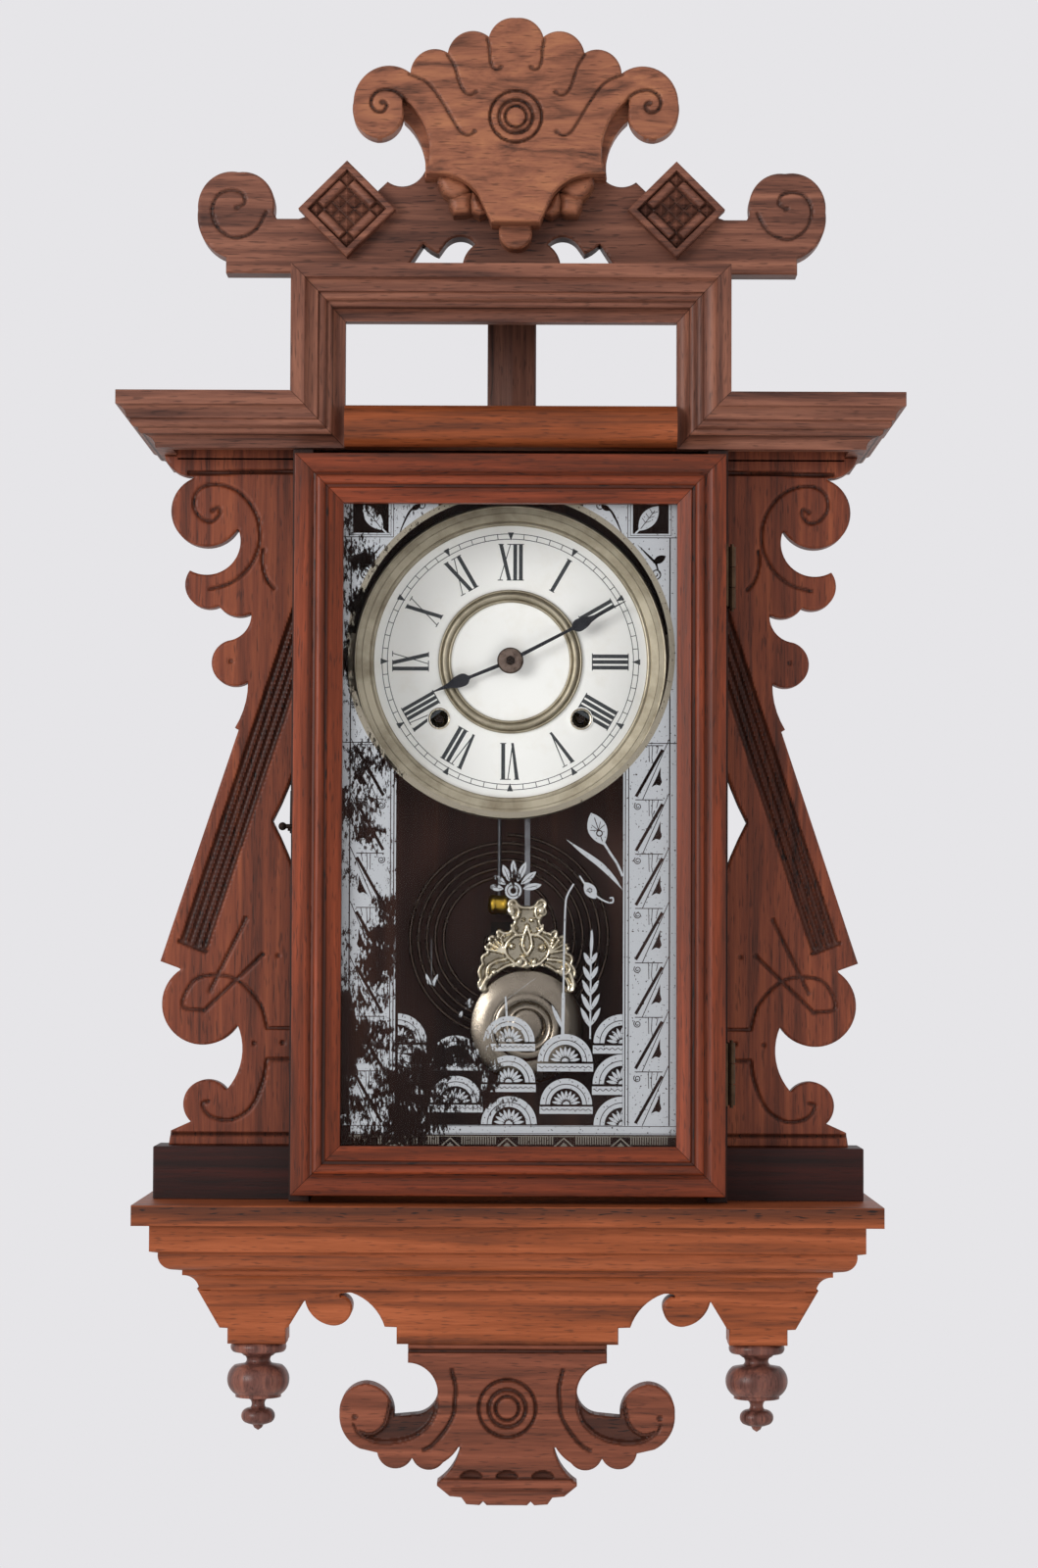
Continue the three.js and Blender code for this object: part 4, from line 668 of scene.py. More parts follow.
FINIAL = path([[0.05, 0], [13.6, 0], [15.4, -2.8, 14, -5.6], [10.2, -6.2, 8.4, -7.6], [6.5, -9.8, 8, -12.2],
               [13.4, -13.2], [17.1, -19.8, 12.6, -29], [12.6, -30.4], [6.4, -30.8, 5, -31.6], [3.6, -34, 4.6, -36.6],
               [9.3, -40.6, 7.4, -44.4], [4.6, -45.4, 3, -45.8], [2.2, -47.4], [0.05, -48.8]])
WING_TOP = curve([(-166.6, 82.5), (-163.4, 84.2), (-162.8, 80.4), (-167.1, 76.3), (-173, 78), (-177.2, 84.2),
                  (-176.1, 92), (-170.6, 96.5), (-161.6, 96.8), (-152.6, 93.2), (-145.9, 86.5), (-141.3, 77.5),
                  (-140.1, 66.3), (-142.3, 57.3), (-147.8, 48.3), (-156.7, 41.6), (-167.9, 38.2)])
WING_SECOND = curve([(-138.1, 60.7), (-138.7, 55.1), (-137.8, 48.4), (-135.5, 42.8), (-132.1, 38.8)])
WING_LOW = curve([(-169.4, -196.9), (-181.5, -194.2), (-174.9, -180), (-160.7, -177.2), (-149.2, -181.1),
                  (-138.2, -193.1), (-134.1, -206.5)])
WING_FOOT = curve([(-134.1, -223.8), (-136.6, -236.4), (-143.1, -250.6), (-154.1, -257.4), (-165.6, -255.5),
                   (-170, -248.9), (-166.7, -247.3)])
SCROLL = curve([(152.5, 249.5), (148.5, 252), (150, 257), (156, 258.8), (163, 256.4), (166.6, 248), (163.4, 238),
                (153.6, 232.2), (142.5, 236.7), (136.4, 246.8)])
SHELL_SCROLL = curve([(60.0, 296), (60.8, 301.7), (62.6, 306), (67.4, 309), (73.6, 309.6), (78.2, 306.6), (79.6, 301.9),
                      (77.2, 298), (73.2, 297.4), (71.0, 300.6), (72.6, 303)])


def board_piece(name, made, slot, material, node_name, seed, body="case"):
    """One or more carved boards as a piece of the case, with their marks."""
    points, faces, marks = made
    return piece(name, points, faces, body, slot, material, node_name, marks=marks, seed=seed)


def run_piece(name, profile, stations, body, slot, material, node_name, seed):
    """A moulding as a piece."""
    (points, faces), marks = run(profile, stations)
    return piece(name, points, faces, body, slot, material, node_name, smooth=24, marks=marks, seed=seed)


def leaf(loop, front):
    """A carved leaf with a full round face: depth 3.4 (1 - d / 5)^2 at d from its outline, nothing beyond 5."""
    rounding = lambda p: 3.4 * np.clip(1 - distance(p, loop, True)[0] / 5, 0, 1) ** 2
    made = carved(loop, front, CREST_FACE, rounding, cell=0.6, edge=1.2)
    # only a quarter of the leaf's rounding darkens it as painted shade
    made[2]["cut"] *= 0.25
    made[2]["worn"][:] = 0.8
    return made


def stack(parts):
    """Several carved boards in one piece, each with its marks."""
    points, faces = joined(*[(p, f) for p, f, _ in parts])
    return points, faces, {k: np.concatenate([m[k] for *_, m in parts]) for k in ("cut", "worn")}


def diamond_relief(p):
    """Depth below the border of a lozenge block: a ring of rounded bars, pyramids at the corners and 3 x 3 within."""
    u, v = (p[:, 0] + p[:, 1]) / math.sqrt(2), (p[:, 1] - p[:, 0]) / math.sqrt(2)
    a, b = np.abs(u), np.abs(v)
    cell = 6.0
    du, dv = np.abs((u + 15) % cell - 3) / 3, np.abs((v + 15) % cell - 3) / 3
    pyramid = 3.3 * (1 - np.maximum(du, dv))
    far, near = np.maximum(a, b), np.minimum(a, b)
    bar = 3.2 * np.sqrt(np.clip(1 - ((far - 12) / 2.9) ** 2, 0, 1)) * ease((9 - near) / 0.9)
    height = np.where((far > 9) & (near < 9), bar, pyramid)
    field = np.where(far < 15, height, 3.3 * ease((far - 15.05) / 0.5))
    return np.clip(3.4 - field, 0, None)


def wing_cuts():
    """The left wing's cuts: scroll lines, dots, ruled lines and the band of flutes along its slanting edge."""
    u, n = np.array([-0.314, 0.9495]), np.array([-0.9495, -0.314])
    flutes = []
    for off in (8.7, 12.7, 16.7, 20.7):
        a = np.array([194.1, -169.6]) + n * off + u * (15.4 + 0.02 * off)
        flutes.append((np.array([a, a + u * 230]) * [-1, 1], 3.7, 1.7))
    return [
        (WING_TOP, 2.1, 0.95), (WING_SECOND, 2.1, 0.95), (-166.6, 82.5, 1.7, 1.1), (-155.9, -2.1, 1.7, 1.0),
        *flutes,
        (np.array([(-183.4, -158.3), (-168.6, -164.1)]), 2.4, 1.3),
        (np.array([(-147, -146.6), (-166.1, -185.4)]), 2.2, 1.0), (-146.6, -145.6, 1.6, 1.2),
        (-166.4, -186.2, 1.6, 0.9),
        (np.array([(-137.1, -165.7), (-169.4, -196.9)]), 2.2, 1.0), (-137.1, -165.7, 1.6, 1.2),
        (-169.4, -196.9, 1.7, 1.1),
        (-128.4, -166.3, 1.6, 1.0), (-141.5, -215, 1.6, 1.2), (-125.6, -214.5, 1.6, 1.2),
        (WING_LOW, 2.1, 0.95), (np.array([(-134.1, -206.5), (-120, -206.5)]), 2.1, 0.95),
        (np.array([(-120, -223.8), (-134.1, -223.8)]), 2.1, 0.95), (WING_FOOT, 2.1, 0.95),
        (np.array([(-190, -265.4), (-119, -265.4)]), 2.2, 1.1), (np.array([(-180, 103.4), (-119, 104.6)]), 2.4, 1.6),
    ]


def crest_outline(half):
    """A crest outline: the right half as drawn, stretched upward from the bridge's top, and its mirror."""
    return shift(both(path(half)) * [1, CREST_TALL], 0, BRIDGE_TOP)


def crest_pieces():
    """Crest board, the applied shell with its leaves and the two lozenge blocks."""
    cuts = twice([(SCROLL, 2.0, 0.95), (152.6, 249.4, 1.8, 1.3)])
    board = carved(crest_outline(CREST_HALF), CREST_FACE, CREST_FACE + 16, lambda p: groups(p, cuts))
    # painted shadow of the shell: the crest board darkens towards its middle, where the shell above shades it
    board[2]["cut"] += 0.85 * np.exp(-((board[0][:, 0] / 75) ** 2))
    board_piece("Crest_board", board, "walnut", walnut("case", "x"), "crest_board", 1)
    shell_pieces()
    half = 19 * math.sqrt(2)
    for side, s in SIDES:
        block = carved([(0, half), (half, 0), (0, -half), (-half, 0)], -104.2, CREST_FACE, diamond_relief, 0.42, 0.6)
        block[0][:] += [s * 91.3, 0, BRIDGE_TOP + 34.6]
        # only 0.35 of the lozenge's relief darkens it as painted shade
        block[2]["cut"] *= 0.35
        board_piece("Diamond_" + side, block, "walnut", walnut("case", "x"), "diamond_block_" + side, 3 + s)


def shell_pieces():
    """The applied shell: a back and a scrolled face in two thicknesses, and three leaves on either side below."""
    back = crest_outline([*SHELL_TOP[:4], [65, 97], [63.6, 86], [62, 79], [53, 67.5, 50.3, 48.4], *SHELL_FOOT])
    face = crest_outline([*SHELL_TOP, [62, 88], [48.6, 69.5, 49.3, 48.4], *SHELL_FOOT[:2], [13.2, 22.8], [0, 22.8]])
    cuts = twice([
        (curve([(15.6, 338), (14.6, 332.6), (14.2, 326.6), (12.6, 322), (9.8, 321), (7.8, 322.6)]), 1.9, 0.95),
        (8.4, 322.2, 1.5, 1.2),
        (curve([(37.8, 329.3), (33.9, 322.8), (31, 313.6), (28.4, 308.6), (25, 307), (21.4, 308.6)]), 1.9, 0.95),
        (22, 308.6, 1.5, 1.2),
        (curve([(58.8, 318.4), (48.8, 313.6), (40.8, 303.3), (33.9, 291.7), (30, 286.2), (26, 284.6), (22, 286.6)]),
         1.9, 0.95),
        (22.6, 286.6, 1.5, 1.2), (SHELL_SCROLL, 2.0, 1.1), (73.4, 302.6, 1.8, 1.4),
    ]) + rings(0, 295.0, 14.2)
    parts = [carved(back, SHELL_STEP, CREST_FACE), carved(face, -122.0, SHELL_STEP, lambda p: groups(p, cuts), 0.75)]
    for front, loop in zip((-113.3, -112.0, -112.6), LEAVES):
        for s in (-1, 1):
            parts.append(leaf(np.array(loop) * [s, CREST_TALL] + [0, BRIDGE_TOP], front))
    made = stack(parts)
    made[0][:, 0] += 2.2
    board_piece("Crest_shell", made, "walnut_light", walnut("shell", "tilt"), "crest_shell", 2)


def moulding_pieces():
    """Cornices with their returns, the bridge's risers and rail, and the frieze: one section, mitred round."""
    level, upright = walnut("case", "x"), walnut("case", "z")
    for side, s in SIDES:
        run_piece("Cornice_" + side, MOULDING,
                  [lambda w, d: (s * (CORNICE_HALF + d - MITRE), MOULD_PLANE - d, CORNICE_TOP - w),
                   lambda w, d: (s * (BRIDGE_HALF - w + MITRE), MOULD_PLANE - d, CORNICE_TOP - w)],
                  "case", "walnut", level, "cornice_" + side, 5 + s)
        run_piece("Cornice_return_" + side, MOULDING,
                  [lambda w, d: (s * (CORNICE_HALF + d), MOULD_PLANE - d + MITRE, CORNICE_TOP - w),
                   lambda w, d: (s * (CORNICE_HALF + d), 0 * d, CORNICE_TOP - w)],
                  "case", "walnut", upright, "cornice_return_" + side, 8 + s)
        run_piece("Bridge_riser_" + side, MOULDING,
                  [lambda w, d: (s * (BRIDGE_HALF - w), MOULD_PLANE - d, CORNICE_TOP - w + MITRE),
                   lambda w, d: (s * (BRIDGE_HALF - w), MOULD_PLANE - d, BRIDGE_TOP - w - MITRE)],
                  "case", "walnut", upright, "bridge_riser_" + side, 11 + s)
    run_piece("Bridge_rail", MOULDING,
              [lambda w, d: (-(BRIDGE_HALF - w - MITRE), MOULD_PLANE - d, BRIDGE_TOP - w),
               lambda w, d: (BRIDGE_HALF - w - MITRE, MOULD_PLANE - d, BRIDGE_TOP - w)],
              "case", "walnut", level, "bridge_rail", 14)
    run_piece("Frieze_rail", FRIEZE, [lambda h, d: (0 * h - 91.5, DECK_FRONT - d, CORNICE_FOOT + h),
                                      lambda h, d: (0 * h + 91.5, DECK_FRONT - d, CORNICE_FOOT + h)],
              "case", "walnut_red", walnut("base", "x"), "frieze_rail", 15)


def wing_pieces():
    """Wing boards with their flutes and cut scrolls, each with its block below the roof."""
    right = shift(path(WING), 120, PLINTH_TOP)
    cuts = wing_cuts()
    for side, s in SIDES:
        loop = right if s > 0 else mirror(right)
        mine = [(-s * c[0], *c[1:]) if np.ndim(c[0]) == 0 else (np.array(c[0]) * [-s, 1], *c[1:]) for c in cuts]
        board = carved(loop, WING_FACE, WING_BACK, lambda p: groups(p, mine), cell=0.85)
        head = box(s * 120, s * 187, WING_FACE, WING_BACK, 110.5, ROOF, 0.4)
        board_piece("Wing_" + side, stack([board, head]), "walnut_dark", walnut("wing", "z"), "wing_board_" + side,
                    17 + s)


def base_pieces():
    """Shelf, base moulding, apron with its pendant blocks, finials, the carved drop and the post behind the bridge."""
    red = walnut("base", "x")
    slab = path([[-139, SHELF_FOOT], [0, SHELF_FOOT], [0, -300.5], [-138, -300.5], [-138.8, -300.9, -139, -301.5],
                 [-139, -310.9]])
    run_piece("Base_shelf", slab, [lambda y, z: (0 * y - 202.5, y, z), lambda y, z: (0 * y + 202.5, y, z)],
              "case", "walnut_red", red, "base_shelf", 20)
    run_piece("Base_moulding", BASE,
              [lambda w, d: (-(MOULDING_HALF + d), 0 * d, SHELF_FOOT - w),
               lambda w, d: (-(MOULDING_HALF + d), -100 - d, SHELF_FOOT - w),
               lambda w, d: (MOULDING_HALF + d, -100 - d, SHELF_FOOT - w),
               lambda w, d: (MOULDING_HALF + d, 0 * d, SHELF_FOOT - w)],
              "case", "walnut_red", red, "base_moulding", 21)
    line = [(np.array([(-62, -378), (62, -378)]), 2.6, 1.0)]
    board = carved(shift(both(path(APRON_HALF)), 0, BASE_FOOT), -100.0, APRON_BACK, lambda p: groups(p, line), 0.85)
    blocks = [box(s * 121.3, s * 153.3, -81.0, -68.0, DROP_TOP, BASE_FOOT, 0.6) for s in (-1, 1)]
    board_piece("Apron", stack([board, *blocks]), "walnut_red", red, "apron_board", 22)
    for side, s in SIDES:
        points, faces = turned(shift(FINIAL, 0, DROP_TOP), 56, about_z(s * 137.3, -84.0))
        piece("Finial_" + side, points, faces, "case", "walnut", walnut("turned", "z"), "finial_" + side, seed=24 + s)
    drop = carved(shift(both(path(DROP_HALF)), 0, DROP_TOP), -98.0, APRON_BACK, drop_relief(), 0.75)
    board_piece("Carved_drop", drop, "walnut_red", walnut("drop", "x"), "bottom_ornament", 26)
    post = carved([(-14, 136.0), (14, 136.0), (14, 201.0), (-14, 201.0)], -18.0, 0.0,
                  lambda p: 2.6 * np.abs(p[:, 0] - 0.8) / 14, 0.9)
    # only a tenth of the post's bevel darkens it as painted shade
    post[2]["cut"] *= 0.1
    board_piece("Spine_post", post, "walnut_dark", walnut("case", "z"), "spine_post", 27)


def drop_relief():
    """The drop's depth at each point: cut lines and dots, sunk arms, two ruled lips and a row of scooped notches."""
    low = curve([(84.1, -422.2), (80.8, -427.9), (73, -431.8), (63.9, -432.4), (53.5, -430.4), (45.7, -425.9),
                 (40.6, -420), (38.3, -412.3), (39.3, -403.3)])
    high = curve([(63.8, -407), (65.3, -415), (67.8, -422.7), (74.3, -427.3), (80.8, -426)])
    stem = curve([(30.3, -392.9), (28.3, -401.9), (28.7, -409.7), (29.5, -416.8), (34, -425.2), (40.5, -432.9),
                  (45, -435.8)])
    cuts = rings(0, -413.3, 15.6) + twice([
        (stem, 2.3, 1.2), (30.4, -392.6, 1.6, 1.2), (29.5, -416.8, 1.5, 1.1), (45.2, -436, 1.6, 1.2),
        (83.5, -418.3, 1.8, 1.3), (low, 1.5, 0.9), (high, 1.5, 1.0)])
    cuts.append((np.array([(-60, -382.2), (60, -382.2)]), 2.2, 1.3))
    arm = np.vstack([low[::-1], high[::-1], [(62, -409), (50, -411), (40, -398)]])
    lips = [np.array([(-x, z), (x, z)]) for x, z in ((36, -451.6), (30, -457.4))]

    def relief(p):
        x, z = np.abs(p[:, 0]), p[:, 1] - DROP_TOP
        side = np.column_stack([x, p[:, 1]])
        sunk = 3.4 * np.where(within(side, arm), ease(distance(side, arm, True)[0] / 2.2), 0)
        spread = np.abs((p[:, 0] + 9.8) % 19.6 - 9.8)
        notch = 1 - (spread / 6.5) ** 2 - ((z + 72.6) / 4.2) ** 2
        notch = 3.2 * np.sqrt(np.clip(notch, 0, 1)) * (z > -72.7) * (x < 27)
        return np.max([groups(p, cuts), sunk, *(groove(p, lip, 1.6, 0.9) for lip in lips), notch], axis=0)

    return relief


def door_pieces():
    """Four mitred members with an ovolo, a bead and a slope to the glass; the pane stays the solid's own."""
    for side, s in SIDES:
        run_piece("Door_stile_" + side, STILE,
                  [lambda w, d: (s * (DOOR_X - w), DOOR_BACK - d, DOOR_FOOT + w + MITRE),
                   lambda w, d: (s * (DOOR_X - w), DOOR_BACK - d, DOOR_HEAD - w - MITRE)],
                  "door", "walnut_red", walnut("door", "z"), "door_stile_" + side, 31 + s)
    for side, z, s in (("bottom", DOOR_FOOT, 1), ("top", DOOR_HEAD, -1)):
        run_piece("Door_rail_" + side, STILE,
                  [lambda w, d: (-(DOOR_X - w - MITRE), DOOR_BACK - d, z + s * w),
                   lambda w, d: (DOOR_X - w - MITRE, DOOR_BACK - d, z + s * w)],
                  "door", "walnut_red", walnut("door", "x"), "door_rail_" + side, 34 + s)


# ---------------------------------------------------------------- dial and hands


def sector(profile, from_deg, to_deg, steps=90):
    """A closed (radius, y) profile carried round part of a circle about the y axis, ends capped."""
    stations = []
    for t in np.radians(np.linspace(from_deg, to_deg, steps)):
        stations.append(lambda r, y, t=t: (r * math.sin(t), y, r * math.cos(t)))
    return run(np.array(profile, float), stations)[0]


def numeral(text, hour, inner=46.0, outer=66.8):
    """Roman numeral strokes in a radial box: the feet point to the middle, thick and thin legs, thin serifs."""
    heavy, fine, serif = 2.15, 0.5, 0.5
    widths = {"I": 3.2, "V": 7.8, "X": 8.2}
    total = sum(widths[c] for c in text)
    x, h, shapes = -total / 2, outer - inner, []
    for c in text:
        w = widths[c]
        m = x + w / 2
        if c == "I":
            legs = [[(m - heavy / 2, 0), (m + heavy / 2, 0), (m + heavy / 2, h), (m - heavy / 2, h)]]
            feet = [(m, 0), (m, h)]
        elif c == "V":
            legs = [[(m - 0.4, 0), (m + 1.0, 0), (m - w / 2 + heavy + 0.5, h), (m - w / 2 + 0.5, h)],
                    [(m - 0.2, 0), (m + 0.5, 0), (m + w / 2 - 0.8, h), (m + w / 2 - 0.8 - fine, h)]]
            feet = [(m - w / 2 + 1.8, h), (m + w / 2 - 1.2, h)]
        else:
            legs = [[(m + w / 2 - 0.6 - heavy, 0), (m + w / 2 - 0.6, 0), (m - w / 2 + 0.6 + heavy, h),
                     (m - w / 2 + 0.6, h)],
                    [(m - w / 2 + 0.8, 0), (m - w / 2 + 0.8 + fine, 0), (m + w / 2 - 0.8, h),
                     (m + w / 2 - 0.8 - fine, h)]]
            feet = [(m - w / 2 + 1.4, 0), (m + w / 2 - 1.8, 0), (m - w / 2 + 1.8, h), (m + w / 2 - 1.4, h)]
        half = 1.68 if c == "I" else 1.5
        shapes += legs
        for fx, fz in feet:
            z0 = fz if fz == 0 else fz - serif
            shapes.append([(fx - half, z0), (fx + half, z0), (fx + half, z0 + serif), (fx - half, z0 + serif)])
        x += w
    squeeze = min(1.0, 15.8 / total)
    return [flat(swung(np.array(q, float) * [squeeze, 1] + [0, inner], 30 * hour), INK_FACE - 0.004 * (k % 6))
            for k, q in enumerate(shapes)]


def circle(r, n=120, x=0.0, z=0.0):
    """A round line about (x, z), its last point on its first."""
    a = 2 * math.pi * np.arange(n + 1) / n
    return np.stack([x + r * np.sin(a), z + r * np.cos(a)], 1)


def dial_pieces():
    """Metal pan and bezel, the white plate's printed track and numerals, the middle ring and the winding collars."""
    nickel = metal("nickel")
    bezel = path([[77.0, -52.2], [77.0, -53.2], [77.4, -54.2, 78.3, -54.5], [79.2, -54.4], [79.5, -54.9], [83.4, -55.5],
                  [83.6, -55.8, 83.9, -55.6], [86.8, -55.9], [87.1, -56.7, 88, -56.7], [88.6, -56.2, 88.7, -55.2],
                  [88.6, -52.2], [89.0, -46], [86.2, -46], [86.6, -52.6], [85.4, -54.0, 84.6, -54.2], [81, -53.8],
                  [78.6, -52.2]], 12)
    ring = turned(bezel, 180, about_y(), closed=True)
    start, end = math.degrees(math.atan2(24, -85.5)), 360 + math.degrees(math.atan2(-19.6, -86.5))
    skirt = sector([(88.6, -48), (86.2, -10.4), (86.2, -9), (84.8, -9), (87.2, -48)], end - 360, start)
    lug = [(84.8, -12), (93.6, -12), (94, -11), (94, -9), (84.8, -9)]
    flange = joined(*(sector(lug, middle - 12, middle + 12, 20) for middle in (-90, 0, 90)))
    piece("Dial_pan", *joined(ring, skirt, flange), "case", "nickel", nickel, "dial_pan")
    look = bpy.context.scene.clock_print
    dress("dial_plate", plain("White painted zinc", look.dial, 0.4, 45.0, 0.3))
    black = plain("Black dial print", look.ink, 0.5, 400.0, 0.5)
    parts = []
    for hour, text in enumerate("XII I II III IIII V VI VII VIII IX X XI".split()):
        parts += numeral(text, hour)
    parts += [stroke(circle(r), 0.4, INK_FACE) for r in (72.5, 69.5)]
    for minute in range(60):
        if minute % 5:
            parts.append(stroke(swung([(0, 69.3), (0, 72.5)], 6 * minute), 0.4, INK_FACE))
        else:
            parts.append(flat(swung([(-1.7, 73.3), (1.7, 73.3), (0, 68.7)], 6 * minute), DIAL_FACE - 0.06))
    piece("Dial_print", *joined(*parts), "case", "enamel", black)
    inner = path([[33.5, -52], [33.5, -52.9], [34.2, -53.7, 35.1, -53.2], [37.2, -55.2, 39.2, -53.3],
                  [40.2, -53.8, 40.7, -52.9], [40.7, -52]], 14)
    piece("Dial_centre_ring", *turned(inner, 128, about_y(), closed=True), "case", "nickel", nickel,
          "dial_centre_ring")
    for side, s in SIDES:
        collar = [(4.95, -51.6), (4.95, -52.5), (5.2, -53.0), (5.7, -53.2), (6.2, -52.9), (6.4, -52.4), (6.4, -51.6)]
        piece("Winding_collar_" + side, *turned(collar, 48, about_y(s * 40.0, -32.4), closed=True), "case", "nickel",
              metal("casting"))


def hand(half, deg):
    """A hand's outline from its half widths along its length, closed by its mirror and turned clockwise."""
    return swung(np.vstack([half, mirror(half)]), deg)


def hand_pieces():
    """Blued spade hands: a thin tapering stem, a small spade, a needle point, on turned collets; a disc over them."""
    hour = path([[1.9, 4.0], [1.25, 5, 1.05, 7], [0.85, 24.4], [1.4, 25.4], [3.1, 27, 3.6, 29.4], [3.2, 32.8, 1.9, 36],
                 [1.2, 39, 0.8, 42], [0.25, 47.5]], 20)
    minute = path([[1.9, 5.4], [1.25, 6.6, 1.05, 9], [0.8, 38.6], [1.4, 39.8], [3.1, 41.4, 3.6, 43.8],
                   [3.2, 47, 1.9, 50.2], [1.1, 54, 0.7, 58], [0.2, 73]], 20)
    disc = path([[1.62, -61.7], [3.2, -61.95], [6.6, -61.62], [7.3, -60.9], [1.62, -60.9]], 6)
    hour_collet = [(2.4, -56.4), (2.4, -58.3), (4.6, -58.5), (5.6, -57.6), (5.4, -56.8), (3.6, -56.6), (3.6, -47.2),
                   (2.4, -47.2)]
    minute_collet = [(1.62, -59.8), (1.62, -61.4), (3.4, -61.4), (6.6, -61.4), (7.4, -60.7), (6.8, -59.8)]
    piece("Minute_collet", *turned(disc, 48, about_y(), closed=True), "minute", "blued_steel", metal("collet"))
    for body, half, deg, y, collet in (("hour", hour, 248.0, -57.9, hour_collet),
                                       ("minute", minute, 62.5, -61.3, minute_collet)):
        blade = flat(hand(half, deg), y, 0.9)
        piece(body.capitalize() + "_hand", *joined(blade, turned(collet, 48, about_y(), closed=True)), body,
              "blued_steel", metal("blued"), body + "_hand")


# ---------------------------------------------------------------- the print on the glass


def ribbon(line, width, thin=False):
    """A drawn line as one quad to each span, width wide; a thin one tapers as sin(pi t) to both ends."""
    line = np.array(line, float)
    side = np.gradient(line, axis=0)[:, ::-1] * [-1, 1]
    side /= np.maximum(np.linalg.norm(side, axis=1), 1e-9)[:, None]
    taper = np.maximum(np.sin(math.pi * np.linspace(0, 1, len(line))), 0.12) if thin else np.ones(len(line))
    half = 0.5 * width * taper[:, None]
    a, b = line + side * half, line - side * half
    return [np.array([a[i], b[i], b[i + 1], a[i + 1]]) for i in range(len(line) - 1)]


def petal(x, z, long, wide, bearing, n=9):
    """A pointed leaf from (x, z): half width wide / 2 sin(pi t)^0.8 at t along its length, laid along the bearing."""
    t = np.linspace(0, 1, n)
    w = 0.5 * wide * np.sin(math.pi * t) ** 0.8
    line = np.vstack([np.stack([w, long * t], 1), np.stack([-w, long * t], 1)[-2:0:-1]])
    c, s = math.cos(math.radians(bearing)), math.sin(math.radians(bearing))
    return np.stack([x + line[:, 0] * c + line[:, 1] * s, z - line[:, 0] * s + line[:, 1] * c], 1)


def half_disc(x, z, r, n=28):
    """The upper half of a disc about (x, z)."""
    a = np.linspace(0, math.pi, n)
    return np.stack([x + r * np.cos(a), z + r * np.sin(a)], 1)


def bar(x0, x1, z0, z1):
    """An upright rectangle."""
    return np.array([(x0, z0), (x1, z0), (x1, z1), (x0, z1)], float)


def fan(x, z, r):
    """A printed fan: an outer hoop with an incised line and dots, petals within, and a waved band under it."""
    out = [(half_disc(x, z, r), 1), *[(q, 0) for q in ribbon(half_disc(x, z, 0.78 * r, 25), 0.45)],
           (half_disc(x, z, 0.62 * r), 0)]
    for a in np.linspace(-80, 80, 9):
        c, q = math.sin(math.radians(a)), math.cos(math.radians(a))
        out.append((petal(x + 0.17 * r * c, z + 0.17 * r * q, 0.38 * r, 0.11 * r, a), 1))
    out.append((half_disc(x, z, 0.13 * r, 10), 1))
    for a in np.radians(np.linspace(15, 165, 6)):
        out.append((circle(0.35, 8, x + 0.9 * r * math.cos(a), z + 0.9 * r * math.sin(a))[:-1], 0))
    out.append((bar(x - 1.02 * r, x + 1.02 * r, z - 0.36 * r, z - 0.08 * r), 1))
    wave = np.linspace(-0.98, 0.98, 61)
    line = np.stack([x + r * wave, z - 0.2 * r + 0.035 * r * np.sin(wave * 2 * math.pi * 5)], 1)
    return out + [(q, 0) for q in ribbon(line, 0.4)]


def ladder(z0):
    """One panel of the right side band, from the rule at z0 down: rule, curl, thick and thin slants, a bud, ticks."""
    at = lambda *points: [(x, z0 + z) for x, z in points]
    out = [*ribbon(at((69, 0), (84.2, 0)), 0.5), *ribbon(at((69.4, -28.0), (83.9, -2.2)), 1.7),
           *ribbon(at((73.0, -29.7), (87.4, 3.4)), 0.45), *ribbon(spiral(70.4, z0 - 3.6, 2.1, 0.5, 130, 1.6, 24), 0.5),
           *ribbon(at((76.4, 0), (76.6, -9)), 0.4), *ribbon(at((78.4, 0), (78.0, -7), (78.6, -10)), 0.4),
           *ribbon(at((81.6, 0), (80.6, -4.5)), 0.4)]
    bud = at((82.8, -11.6), (81, -16.5), (79.6, -19.4), (77.8, -22.8), (80.4, -21.4), (82.4, -22.0), (83.6, -20.0),
             (82.8, -17))
    return [*out, np.array(bud)]


def painter():
    """A list of (outline, value) and two calls that add outlines to it: with 1 for silver, with 0 for clear."""
    paint = []
    return paint, lambda *loops: paint.extend((q, 1) for q in loops), lambda *loops: paint.extend((q, 0) for q in loops)


